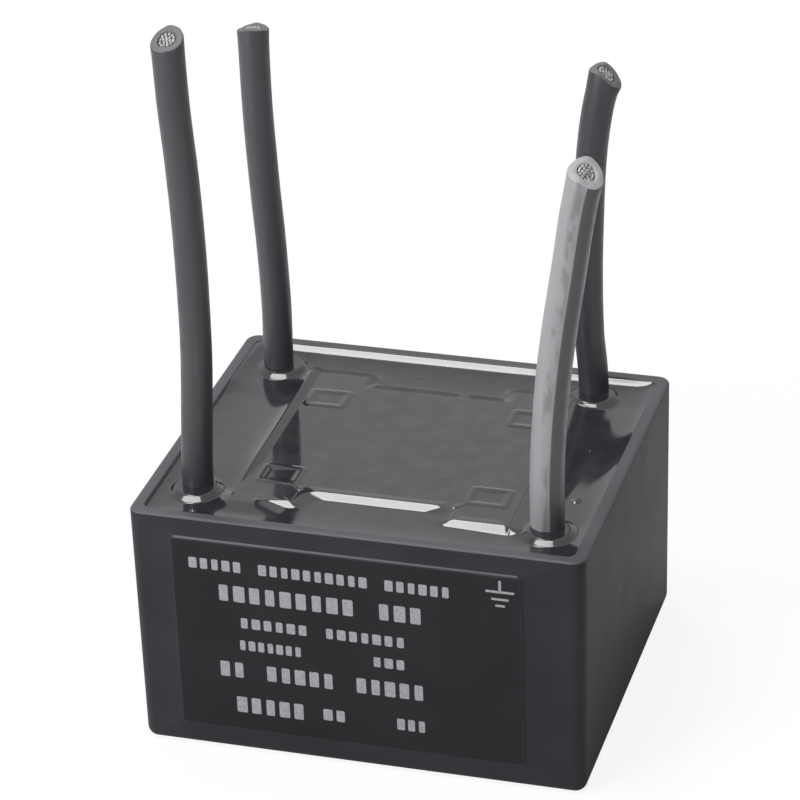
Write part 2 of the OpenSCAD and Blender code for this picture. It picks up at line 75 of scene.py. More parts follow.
def add_node(tree: bpy.types.NodeTree, kind: str, settings: dict | None = None,
             stops: Sequence[tuple] = (), **inputs: object) -> bpy.types.Node:
    """Adds a node, sets its properties, and sets or links its inputs.

    Args:
        tree: the node tree that gets the node.
        kind: the node's type without "ShaderNode".
        settings: properties of the node itself, by name.
        stops: position and colour of each stop of a colour ramp, two or more, in order.
        inputs: a value, an output socket, or a node that gives its first output, by socket
            name with _ for a space, or iN for the socket at index N.

    Returns:
        The new node.
    """
    node = tree.nodes.new("ShaderNode" + kind)
    for name, value in (settings or {}).items():
        setattr(node, name, value)
    for _ in stops[2:]:
        node.color_ramp.elements.new(0.5)
    for k, (place, colour) in enumerate(stops):
        node.color_ramp.elements[k].position = place
        node.color_ramp.elements[k].color = colour
    for name, value in inputs.items():
        if name[0] == "i" and name[1:].isdigit():
            socket = node.inputs[int(name[1:])]
        else:
            socket = node.inputs[name.replace("_", " ")]
        if isinstance(value, bpy.types.Node):
            value = value.outputs[0]
        if isinstance(value, bpy.types.NodeSocket):
            tree.links.new(value, socket)
        else:
            socket.default_value = value
    return node


# Finishes

@dataclass(frozen=True)
class Pattern:
    """Two noises behind a finish, each a size in millimetres, 0 for its grain, and a detail.

    The tint noise mixes the finish's two colours, and the relief noise drives its bump. One of
    them also moves the roughness: gloss holds the noise's span and what each end adds.
    """

    tint: tuple[float, float]
    relief: tuple[float, float]
    gloss: tuple[float, float, float, float] = (0.0, 1.0, 0.0, 0.0)
    gloss_by_relief: bool = False
    stretch: float = 1.0
    striped: bool = False
    metallic: float = 0.0


class Kind(Enum):
    """What a finish is made of, with its noise pattern."""

    MOULDED = Pattern((9.0, 3.0), (0.0, 3.0), (0.3, 0.7, -0.04, 0.05))
    RESIN = Pattern((2.5, 4.0), (0.0, 1.0), (0.4, 0.8, 0.0, 0.06))
    JACKET = Pattern((0.8, 3.0), (1.6, 5.0), (0.35, 0.75, -0.05, 0.12), True, 0.08)
    STRIPED_JACKET = Pattern((0.8, 3.0), (1.6, 5.0), (0.35, 0.75, -0.05, 0.12), True, 0.08, True)
    METAL = Pattern((0.5, 3.0), (0.5, 3.0), (0.3, 0.7, -0.06, 0.10), metallic=1.0)
    INK = Pattern((0.35, 4.0), (0.35, 4.0))


@dataclass(frozen=True)
class Finish:
    """A surface finish: colours in sRGB hex, sizes in millimetres."""

    name: str
    kind: Kind
    colour: str
    shade: str
    rough: float
    grain: float = 0.25
    bump: float = 0.02
    specular: float = 0.5
    ior: float = 1.5


# ABS from an etched mould: a dull grey-black. Its real grain is too fine to show, so it is
# drawn coarser.
CASE = Finish("moulded_abs", Kind.MOULDED, "2b2a2e", "252428", 0.50, grain=0.35, bump=0.008,
              specular=0.11)
# The same ABS from a smoother part of the mould: darker, with a little more shine.
PANEL = Finish("smooth_moulded_abs", Kind.MOULDED, "1a191d", "151418", 0.40, grain=0.30,
               bump=0.006, specular=0.16)
# The same ABS, painted paler on the rim and on the panel's upper edge: a painted highlight that
# shows them as thin paler lines.
RIM_PAINTED_HIGHLIGHT = Finish("abs_painted_highlight", Kind.MOULDED, "414045", "3a393e", 0.50, grain=0.8, bump=0.004,
             specular=0.40)
# The inner wall above the pool: an even, pale grey band, painted light over the shade that falls
# inside the cavity.
WALL_PAINTED_LIGHT = Finish("abs_painted_light", Kind.MOULDED, "7a797e", "706f74", 0.50, grain=0.8, bump=0.004)
# Cast epoxy that set level: near black, with mirror-like highlights that bend where it climbs.
RESIN = Finish("cast_epoxy", Kind.RESIN, "2b2a2e", "242327", 0.08, grain=6.0, bump=0.02,
               ior=1.55)
# The lid's moulded nylon under a film of epoxy: as glossy, and a little lighter.
LID = Finish("epoxy_wetted_nylon", Kind.RESIN, "353437", "2b2a2e", 0.06, grain=4.0, bump=0.02)
# Extruded PVC: soft broad highlights, with faint streaks along the lead and three near blacks.
JACKET_1 = Finish("extruded_pvc_1", Kind.JACKET, "39393d", "343438", 0.42, specular=0.38)
JACKET_2 = Finish("extruded_pvc_2", Kind.JACKET, "3e3d42", "39383c", 0.42, specular=0.38)
JACKET_3 = Finish("extruded_pvc_3", Kind.JACKET, "353338", "302e33", 0.42, specular=0.38)
# PVC extruded in two colours: a pale grey with a dark stripe that runs along the lead, and a mid
# grey of painted shade on the pale grey's shaded side.
JACKET_4 = Finish("striped_pvc", Kind.STRIPED_JACKET, "89888b", "474649", 0.40, specular=0.38)
# PVC sheared by cutters: torn, matt and paler than the jacket round it.
CUT_DARK = Finish("sheared_dark_pvc", Kind.MOULDED, "68676b", "535256", 0.60, grain=0.3,
                  bump=0.05)
CUT_LIGHT = Finish("sheared_pale_pvc", Kind.MOULDED, "98979a", "7e7d80", 0.60, grain=0.3,
                   bump=0.05)
# Tinned copper drawn fine and cut: a dull grey metal, bright in spots.
STRANDS = Finish("tinned_copper_strands", Kind.METAL, "a6a5a4", "7b7a79", 0.60)
# Tinned copper pins: a smoother, whiter metal.
PINS = Finish("tinned_copper_pins", Kind.METAL, "b4b3af", "8f8e8c", 0.35)
# Solder that flowed and set: bright, and slightly uneven.
SOLDER = Finish("flowed_solder", Kind.METAL, "a3a3a0", "868683", 0.30)
# Plated steel: an even, warm grey sheen.
ELECTRODE = Finish("plated_steel", Kind.METAL, "b0afab", "96958f", 0.32)
# Pad-printed ink: a flat grey that breaks up a little over the mould's grain.
INK_PALE = Finish("pad_printed_ink", Kind.INK, "8d8c90", "7b7a7e", 0.55)
# Epoxy, dipped on: a blue coat with a soft shine and an orange-peel skin.
VARISTOR = Finish("dipped_epoxy", Kind.MOULDED, "3a5a8c", "324f7c", 0.30, grain=0.8,
                  bump=0.03)
# Moulded polyester: a cream body with a low shine.
FUSE = Finish("moulded_polyester", Kind.MOULDED, "d8d3c4", "cbc6b6", 0.45)
# Fired alumina: white, smooth and opaque.
CERAMIC = Finish("fired_alumina", Kind.MOULDED, "e8e6e0", "dcdad3", 0.35)
# Glass-epoxy laminate: a dark green-grey with a faint mottle of the weave.
BOARD = Finish("glass_epoxy_laminate", Kind.MOULDED, "3f4a41", "38423a", 0.38, grain=1.2)
# Moulded nylon: a plain black with a low shine.
HOLDER = Finish("moulded_nylon", Kind.MOULDED, "3a393d", "323135", 0.30)


class FinishMaker:
    """Builds one node material for each finish and keeps it for reuse."""

    # Span of the tint noise over which the shade turns into the colour.
    BLEND = (0.35, 0.65)

    def __init__(self) -> None:
        """Starts with no material made."""
        self._made: dict[str, bpy.types.Material] = {}

    def get(self, finish: Finish) -> bpy.types.Material:
        """Gives the material of a finish, made on first use.

        Args:
            finish: the finish to build.

        Returns:
            The Blender material.
        """
        if finish.name not in self._made:
            self._made[finish.name] = self._build(finish)
        return self._made[finish.name]

    def _build(self, finish: Finish) -> bpy.types.Material:
        """Builds the material: two noises that drive its colour, gloss and bump.

        Args:
            finish: the finish to build.

        Returns:
            The Blender material.
        """
        material = bpy.data.materials.new(finish.name)
        material.use_nodes = True
        tree, pattern = material.node_tree, finish.kind.value
        tree.nodes.clear()
        place = add_node(tree, "TexCoord").outputs["Object"]
        along = add_node(tree, "Mapping", Vector=place, Scale=(1.0, 1.0, pattern.stretch))
        tint, relief = [
            add_node(tree, "TexNoise", Vector=where, Scale=1 / ((size or finish.grain) * MM),
                     Detail=detail)
            for where, (size, detail) in ((along, pattern.tint), (place, pattern.relief))]
        low, high, less, more = pattern.gloss
        gloss = add_node(tree, "MapRange", i0=relief if pattern.gloss_by_relief else tint,
                         i1=low, i2=high, i3=finish.rough + less, i4=finish.rough + more)
        shade, colour = linear(finish.shade), linear(finish.colour)
        mix = (self._stripes(tree, colour, shade, place) if pattern.striped else
               add_node(tree, "ValToRGB", i0=tint, stops=list(zip(self.BLEND, (shade, colour)))))
        bump = add_node(tree, "Bump", Strength=1.0, Distance=finish.bump * MM, Height=relief)
        shader = add_node(tree, "BsdfPrincipled", Base_Color=mix, Roughness=gloss,
                          IOR=finish.ior, Specular_IOR_Level=finish.specular,
                          Metallic=pattern.metallic, Normal=bump)
        add_node(tree, "OutputMaterial", Surface=shader)
        material.diffuse_color = colour
        return material

    @staticmethod
    def _stripes(tree: bpy.types.NodeTree, light: tuple, dark: tuple,
                 place: bpy.types.NodeSocket) -> bpy.types.Node:
        """Adds a jacket's two greys, and a mid grey of painted shade on the pale grey's shaded
        side, by the angle round the lead that the UV map keeps.

        Args:
            tree: the material's node tree.
            light: the pale grey.
            dark: the dark grey.
            place: the object's coordinates.

        Returns:
            The node that gives the colour.
        """
        angle = add_node(tree, "SeparateXYZ", Vector=add_node(tree, "UVMap"))
        # edge is painted shade: the pale grey darkened where the lead turns from the light.
        edge = linear(STRIPE_PAINTED_SHADE)
        colour = add_node(tree, "ValToRGB", i0=angle, stops=[
            (0.0, edge), (0.045, edge), (0.055, light), (0.806, light), (0.814, dark),
            (0.925, dark), (0.937, edge), (1.0, edge)])
        # Streaks run all along the jacket, and faint marks beside the border of its greys.
        streak, patch = [
            add_node(tree, "ValToRGB", stops=stops, i0=add_node(
                tree, "TexNoise", Scale=1 / (size * MM), Detail=detail, Vector=add_node(
                    tree, "Mapping", Vector=place, Scale=(1.0, 1.0, stretch))))
            for size, detail, stretch, stops in (
                (0.9, 4.0, 0.15, [(0.35, (0.75, 0.75, 0.75, 1)), (0.6, WHITE)]),
                (1.5, 2.0, 0.40, [(0.47, (0.12, 0.12, 0.12, 1)), (0.56, WHITE)]))]
        marks = add_node(tree, "ValToRGB", i0=angle, stops=[
            (0.69, WHITE), (0.74, (0.62, 0.62, 0.63, 1)), (0.78, (0.70, 0.70, 0.71, 1)),
            (0.81, WHITE)])
        for share, layer in ((0.25, streak), (patch, marks)):
            colour = add_node(tree, "MixRGB", {"blend_type": "MULTIPLY"}, i0=share, i1=colour,
                              i2=layer)
        return colour


# Meshes

class Sheetwork:
    """A bmesh in millimetres that grows by loops of points, and the Blender object made of it."""

    def __init__(self, name: str) -> None:
        """Starts an empty mesh with the name of the piece."""
        self.name = name
        self.mesh = bmesh.new()
        self.turns: dict[BMVert, tuple[float, float]] = {}

    def loop(self, points: Iterable[Sequence[float]]) -> list[BMVert]:
        """Adds points, joined into a closed loop.

        Args:
            points: the places in order.

        Returns:
            The new points.
        """
        verts = [self.mesh.verts.new(p) for p in points]
        for a, b in pairs_round(verts):
            self.mesh.edges.new((a, b))
        return verts

    def face(self, verts: Iterable[BMVert], slot: int = 0) -> None:
        """Adds a face through the given points."""
        self.mesh.faces.new(verts).material_index = slot

    def grow(self, ring: list[BMVert], places: Sequence[Sequence[float]],
             slot: int = 0) -> list[BMVert]:
        """Extrudes a loop and moves the new loop into place.

        Args:
            ring: the loop to extrude.
            places: where each point of the new loop goes.
            slot: material index of the faces between.

        Returns:
            The points of the new loop.
        """
        edges = [self.mesh.edges.get(ends) for ends in pairs_round(ring)]
        made = bmesh.ops.extrude_edge_only(self.mesh, edges=edges)["geom"]
        fresh = {part for part in made if isinstance(part, BMVert)}
        out = []
        for vert, place in zip(ring, places):
            ends = [edge.other_vert(vert) for edge in vert.link_edges]
            out.append(next(end for end in ends if end in fresh))
            out[-1].co = place
        for face in {f for vert in out for f in vert.link_faces}:
            face.material_index = slot
        return out

    def stack(self, loops: list[list], slots: Sequence[int] | None = None,
              capped: bool = True) -> list[list[BMVert]]:
        """Extrudes from the first loop through all others.

        Args:
            loops: the places of the points in each loop, as many in each.
            slots: material index of each band between two loops, 0 where not given.
            capped: whether the first and the last loop are closed with a face.

        Returns:
            The points of each loop.
        """
        rings = [self.loop(loops[0])]
        for k, places in enumerate(loops[1:]):
            rings.append(self.grow(rings[-1], places, slots[k] if slots else 0))
        for ring in (rings[0], rings[-1]) if capped else ():
            self.face(ring)
        return rings

    def _unroll(self) -> None:
        """Writes the UV map, from each point's place round and along the piece."""
        layer = self.mesh.loops.layers.uv.new("UVMap")
        for face in self.mesh.faces:
            around = [self.turns[corner.vert] for corner in face.loops]
            # A face across the seam runs up to 1, not back to 0.
            seam = max(u for u, _ in around) - min(u for u, _ in around) > 0.5
            for corner, (u, v) in zip(face.loops, around):
                corner[layer].uv = (1.0 if seam and u < 0.5 else u, v)

    def build(self, materials: list[bpy.types.Material], sharp_deg: float = 40.0,
              merge: bool = False) -> bpy.types.Object:
        """Makes the object, smooth but for edges sharper than an angle.

        Args:
            materials: one for each slot used.
            sharp_deg: edges with a larger angle stay sharp.
            merge: whether coincident points are joined.

        Returns:
            The object, at the origin and in metres.
        """
        bmesh.ops.scale(self.mesh, vec=(MM, MM, MM), verts=self.mesh.verts)
        if merge:
            bmesh.ops.remove_doubles(self.mesh, verts=self.mesh.verts, dist=SAME_POINT)
        if all(edge.is_manifold for edge in self.mesh.edges):
            bmesh.ops.recalc_face_normals(self.mesh, faces=self.mesh.faces)
        if self.turns:
            self._unroll()
        data = bpy.data.meshes.new(self.name)
        self.mesh.to_mesh(data)
        self.mesh.free()
        for material in materials:
            data.materials.append(material)
        data.validate()
        data.shade_smooth()
        data.set_sharp_from_angle(angle=math.radians(sharp_deg))
        return add_object(self.name, data)


def pairs_round(items: list) -> list[tuple]:
    """Pairs each item with the next one, and the last with the first."""
    return list(zip(items, items[1:] + items[:1]))


def face_at(a: BMVert, b: BMVert, c: BMVert) -> BMFace:
    """Finds the face that three points belong to."""
    return next(face for face in a.link_faces if b in face.verts and c in face.verts)


def add_object(name: str, data: bpy.types.ID) -> bpy.types.Object:
    """Makes an object at the origin and links it to the scene.

    Args:
        name: the object's name.
        data: its mesh, camera or lamp.

    Returns:
        The object.
    """
    obj = bpy.data.objects.new(name, data)
    bpy.context.scene.collection.objects.link(obj)
    return obj


def declare(piece: bpy.types.Object, node: str | None = None) -> None:
    """Puts a piece on the part's body and reports it.

    Args:
        piece: the finished piece.
        node: the CAD node that it stands for, if any.
    """
    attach(piece, BODY)
    if node:
        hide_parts(node)
    log.info("%s: %d faces", piece.name, len(piece.data.polygons))


def quarter(steps: int) -> list[tuple[float, float]]:
    """Gives 1 - cos and 1 - sin at even steps of a quarter turn, for rounding an edge."""
    turns = [math.radians(90 * k / steps) for k in range(steps + 1)]
    return [(1 - math.cos(a), 1 - math.sin(a)) for a in turns]


def rounded_loop(half_x: float, half_y: float, radius: float, z: float,
                 steps: int = 10) -> list[Vector]:
    """Gives a rounded rectangle as a loop, anticlockwise from the front right corner.

    Args:
        half_x: half of its width.
        half_y: half of its depth.
        radius: its corner radius.
        z: its height.
        steps: segments on each corner.

    Returns:
        The points; the last edge, from the end to the start, is the front.
    """
    out = []
    for k, (sx, sy) in enumerate(((1, -1), (1, 1), (-1, 1), (-1, -1))):
        for j in range(steps + 1):
            a = math.radians(-90 + 90 * k + 90 * j / steps)
            out.append(Vector((sx * (half_x - radius) + radius * math.cos(a),
                               sy * (half_y - radius) + radius * math.sin(a), z)))
    return out


def edge_distance(x: float, y: float, half_x: float, half_y: float, radius: float) -> float:
    """Gives the signed distance from a point to a rounded rectangle's edge, negative inside."""
    dx, dy = abs(x) - (half_x - radius), abs(y) - (half_y - radius)
    return math.hypot(max(dx, 0), max(dy, 0)) + min(max(dx, dy), 0) - radius


# Sub-assemblies

@dataclass
class Camera:
    """The photograph's camera, fitted to the case. Distances are in metres."""

    azimuth: float = 16.99
    elevation: float = 28.14
    roll: float = -2.06
    unit: float = 0.053
    distance: float = 8.27
    shift: tuple[float, float] = (0.033, -0.599)
    lens_px: float = 3654.0
    frame_px: float = 800.0
    sensor_mm: float = 36.0
    clip: tuple[float, float] = (0.05, 20.0)

    def axes(self) -> tuple[Vector, Vector, Vector]:
        """Works out which way the camera is turned.

        Returns:
            Its right, up and back directions.
        """
        az, el, ro = (math.radians(v) for v in (self.azimuth, self.elevation, self.roll))
        back = Vector((math.sin(az) * math.cos(el), -math.cos(az) * math.cos(el), math.sin(el)))
        right = Vector((math.cos(az), math.sin(az), 0))
        up = back.cross(right)
        return (math.cos(ro) * right + math.sin(ro) * up,
                -math.sin(ro) * right + math.cos(ro) * up, back)

    def build(self) -> bpy.types.Object:
        """Makes the camera the scene's own.

        Returns:
            The camera.
        """
        right, up, back = self.axes()
        data = bpy.data.cameras.new("photo_camera")
        data.sensor_fit = "HORIZONTAL"
        data.sensor_width = self.sensor_mm
        data.lens = self.lens_px / self.frame_px * self.sensor_mm
        data.clip_start, data.clip_end = self.clip
        obj = add_object("photo_camera", data)
        place = (back * self.distance - right * self.shift[0] - up * self.shift[1]) * self.unit
        turn = Matrix((right, up, back)).transposed()
        obj.matrix_world = Matrix.Translation(place) @ turn.to_4x4()
        bpy.context.scene.camera = obj
        return obj


@dataclass
class Lead:
    """A stranded lead: a jacket with a cut end and the twisted strands inside it.

    It stands upright in the resin at one place, and rise gives its points above the case from
    there. The cut's normal is cut; nip, nip_shift, flare and lift shape the tip.
    """

    name: str
    finish: Finish
    resin_z: float
    at: tuple[float, float]
    rise: list[tuple[float, float, float]]
    cut: tuple[float, float, float]
    nip: float
    flare: float
    lift: float
    nip_shift: float = 0.0
    diameter: float = 3.6
    cut_finish: Finish = CUT_DARK
    slot: str = "line_lead_jacket"
    wire: float = 1.9
    bore_gap: float = 0.03
    recess: float = 0.08
    sides: int = 40
    ring_gap: float = 0.9
    # Heights of the points inside the case, and of the strands' lower ends.
    potted: tuple[float, ...] = (8, 19, 31)
    foot_z: float = 2.9
    lay_length: float = 26.0
    lip: float = 0.16
    cut_clearance: float = 0.15
    crown: float = 0.03
    # Radius above the bore and drop of the rings between the cut's face and the bore.
    bore_edge: tuple[tuple[float, float], ...] = ((0.12, 0.0), (0.02, 0.10))
    # Width of the soft ridge of the cut, reach of the squeeze and how much it flattens.
    ridge_soft: float = 0.35
    squeeze_reach: float = 1.8
    flatten: float = 0.7
    # Height and spacing of the cut's unevenness, and share of the jacket's own.
    rough_cut: tuple[float, float] = (0.09, 1.3)
    wobble: tuple[float, float] = (0.012, 0.12)
    # Size and drop of the rings that round a strand's tip, its sides and its spread in height.
    strand_tip: tuple[tuple[float, float], ...] = ((1.0, 0.10), (0.75, 0.03), (0.35, 0.0))
    strand_sides: int = 8
    strand_step: int = 3
    uneven: tuple[float, float] = (0.16, 3.1)

    @property
    def seed(self) -> int:
        """Gives the lead's own place in the noises."""
        return sum(map(ord, self.name))

    def _line(self, low: float | None = None) -> list[Vector]:
        """Samples a smooth line through the route, from its potted end to its cut.

        Args:
            low: height of one more point below the potted end, if any.

        Returns:
            The points of the line.
        """
        p = [Vector((self.at[0] + x, self.at[1] + y, z))
             for x, y, z in [(0, 0, z) for z in self.potted] + self.rise]
        if low is not None:
            p = [Vector((p[0].x, p[0].y, low))] + p
        ends = [p[0] * 2 - p[1]] + p + [p[-1] * 2 - p[-2]]
        ends[-1] += (ends[-2] - ends[-3]).normalized() * self.lift
        ends[-2] += (ends[-2] - ends[-3]).normalized() * self.lift
        out = []
        for k in range(1, len(ends) - 2):
            a, b, c, d = ends[k - 1:k + 3]
            steps = max(1, round((c - b).length / self.ring_gap))
            for j in range(steps):
                t = j / steps
                out.append(0.5 * (2 * b + (c - a) * t + (2 * a - 5 * b + 4 * c - d) * t ** 2
                                  + (3 * b - a - 3 * c + d) * t ** 3))
        return out + [ends[-2]]

    def _frames(self, line: list[Vector]) -> list[tuple[Vector, Vector, Vector]]:
        """Works out the directions in which rings lie round a line.

        Args:
            line: the points of the line.

        Returns:
            The tangent and two cross directions at each point.
        """
        out = []
        for k in range(len(line)):
            t = (line[min(k + 1, len(line) - 1)] - line[max(k - 1, 0)]).normalized()
            u = (Vector((1, 0, 0)) - t * t.x).normalized()
            out.append((t, u, t.cross(u)))
        return out

    def _on_cut(self, p: Vector, centre: Vector, t: Vector, drop: float = 0.0) -> Vector:
        """Slides a point along the tangent onto the cut, a slanting roof with one soft ridge.

        Args:
            p: the point.
            centre: the middle of the cut.
            t: the tangent there.
            drop: how far below the cut the point ends.

        Returns:
            The point on the cut.
        """
        n = Vector(self.cut).normalized()
        side = p.x - centre.x - self.nip_shift
        soft, radius = self.ridge_soft, self.diameter / 2
        fall = self.nip * (math.hypot(side, soft) - soft) / (math.hypot(radius, soft) - soft)
        return p - t * (((p - centre).dot(n)) / t.dot(n) + fall + drop)

    def _squeeze(self, centre: Vector, tip: Vector) -> tuple[float, float]:
        """Gives the width and depth factors that the cutters leave near the tip."""
        grow = self.flare * math.exp(-(centre - tip).length / self.squeeze_reach)
        return 1 + grow, 1 - self.flatten * grow

    def _jacket(self, finishes: FinishMaker) -> tuple[bpy.types.Object, list[Vector]]:
        """Builds the jacket as a tube with a cut face.

        Args:
            finishes: the maker of materials.

        Returns:
            The jacket and its middle line.
        """
        line = self._line()
        frames = self._frames(line)
        work = Sheetwork(self.name + "_cover")
        radius, bore = self.diameter / 2, self.wire / 2 + self.bore_gap
        high, spacing = self.rough_cut

        def ring(k: int, r: float, drop: float | None = None) -> tuple[int, list[Vector]]:
            """Lays out one ring of the tube.

            Args:
                k: its place along the line.
                r: its radius.
                drop: how far it lies below the cut, or None for a ring square to the line.

            Returns:
                Its place along the line and its points.
            """
            t, u, v = frames[k]
            wide, deep = self._squeeze(line[k], line[-1])
            places = []
            for j in range(self.sides):
                a = 2 * math.pi * j / self.sides
                wob = 1 + self.wobble[0] * noise.noise(
                    Vector((math.cos(a), math.sin(a), k * self.wobble[1] + self.seed)))
                p = line[k] + r * wob * (math.cos(a) * u * wide + math.sin(a) * v * deep)
                if drop is not None:
                    p = self._on_cut(p, line[k], t, drop)
                    p += t * high * noise.noise(
                        Vector((p.x * spacing, p.y * spacing, self.seed)))
                places.append(p)
            return k, places

        last = len(line) - 1
        keep = [k for k in range(last) if self._clear_of_cut(line, frames, k, radius)]
        plan = [ring(k, radius) for k in keep]
        plan += [ring(last, radius - self.lip * x, self.lip * z) for x, z in quarter(4)]
        # The lip's two inner rings already belong to the cut's face, which crowns a little.
        face = len(plan) - 3
        plan.append(ring(last, (radius + bore) / 2, -self.crown))
        plan += [ring(last, bore + more, drop) for more, drop in self.bore_edge]
        inside = len(plan)
        plan += [ring(k, bore) for k in reversed(keep)]
        slots = [1 if face <= k < inside else 0 for k in range(len(plan) - 1)]
        rings = work.stack([places for _, places in plan], slots, capped=False)
        for (a, b), (c, d) in zip(pairs_round(rings[-1]), pairs_round(rings[0])):
            work.face((a, b, d, c))
        for (k, _), verts in zip(plan, rings):
            for j, vert in enumerate(verts):
                work.turns[vert] = (j / self.sides, k / last)
        both = [finishes.get(self.finish), finishes.get(self.cut_finish)]
        return work.build(both, SHARP_DEG), line

    def _clear_of_cut(self, line: list[Vector], frames: list[tuple], k: int,
                      radius: float) -> bool:
        """Says whether a ring lies wholly below the cut.

        Args:
            line: the middle line.
            frames: its directions.
            k: the ring's place along the line.
            radius: the ring's radius.

        Returns:
            True if no point of it reaches the cut's face.
        """
        n = Vector(self.cut).normalized()
        reach = radius * (1 + self.flare) * math.sqrt(max(0.0, 1 - n.dot(frames[k][0]) ** 2))
        nip = self.nip * (1 + abs(self.nip_shift) / radius)
        return (line[k] - line[-1]).dot(n) < -(reach + nip + self.lip + self.cut_clearance)

    def _strands(self, finishes: FinishMaker) -> bpy.types.Object:
        """Builds the strands: one in the middle, and twisted layers of 6 and 12 round it.

        Args:
            finishes: the maker of materials.

        Returns:
            All strands as one object.
        """
        line = self._line(self.foot_z)
        frames = self._frames(line)
        work = Sheetwork(self.name + "_strands")
        # Five strands lie side by side across the wire.
        strand = self.wire / 10
        layers = [(0.0, 1), (2 * strand, 6), (4 * strand, 12)]
        lengths = [0.0]
        for a, b in zip(line, line[1:]):
            lengths.append(lengths[-1] + (b - a).length)
        stations = list(range(0, len(line) - 1, self.strand_step)) + [len(line) - 1]
        high, spacing = self.uneven
        for radius, count in layers:
            for m in range(count):
                uneven = high * noise.noise(Vector((radius, m * spacing, self.seed)))
                rings = []
                for k in stations:
                    t, u, v = frames[k]
                    wide, deep = self._squeeze(line[k], line[-1])
                    a = 2 * math.pi * (m / count + lengths[k] / self.lay_length)
                    centre = line[k] + radius * (math.cos(a) * u * wide + math.sin(a) * v * deep)
                    tip = k == stations[-1]
                    for size, drop in self.strand_tip if tip else [(1.0, None)]:
                        places = []
                        for j in range(self.strand_sides):
                            b = 2 * math.pi * j / self.strand_sides
                            p = centre + strand * size * (math.cos(b) * u + math.sin(b) * v)
                            if tip:
                                p = self._on_cut(p, line[k], t, self.recess + drop + uneven)
                            places.append(p)
                        rings.append(places)
                work.stack(rings)
        return work.build([finishes.get(STRANDS)], SHARP_DEG)

    def build(self, finishes: FinishMaker) -> None:
        """Args:
            finishes: the maker of materials.
        """
        jacket, line = self._jacket(finishes)
        strands = self._strands(finishes)
        declare(jacket, self.name + "_jacket")
        declare(strands, self.name + "_wire")


CASE_FINISHES = (CASE, PANEL, RIM_PAINTED_HIGHLIGHT, WALL_PAINTED_LIGHT)


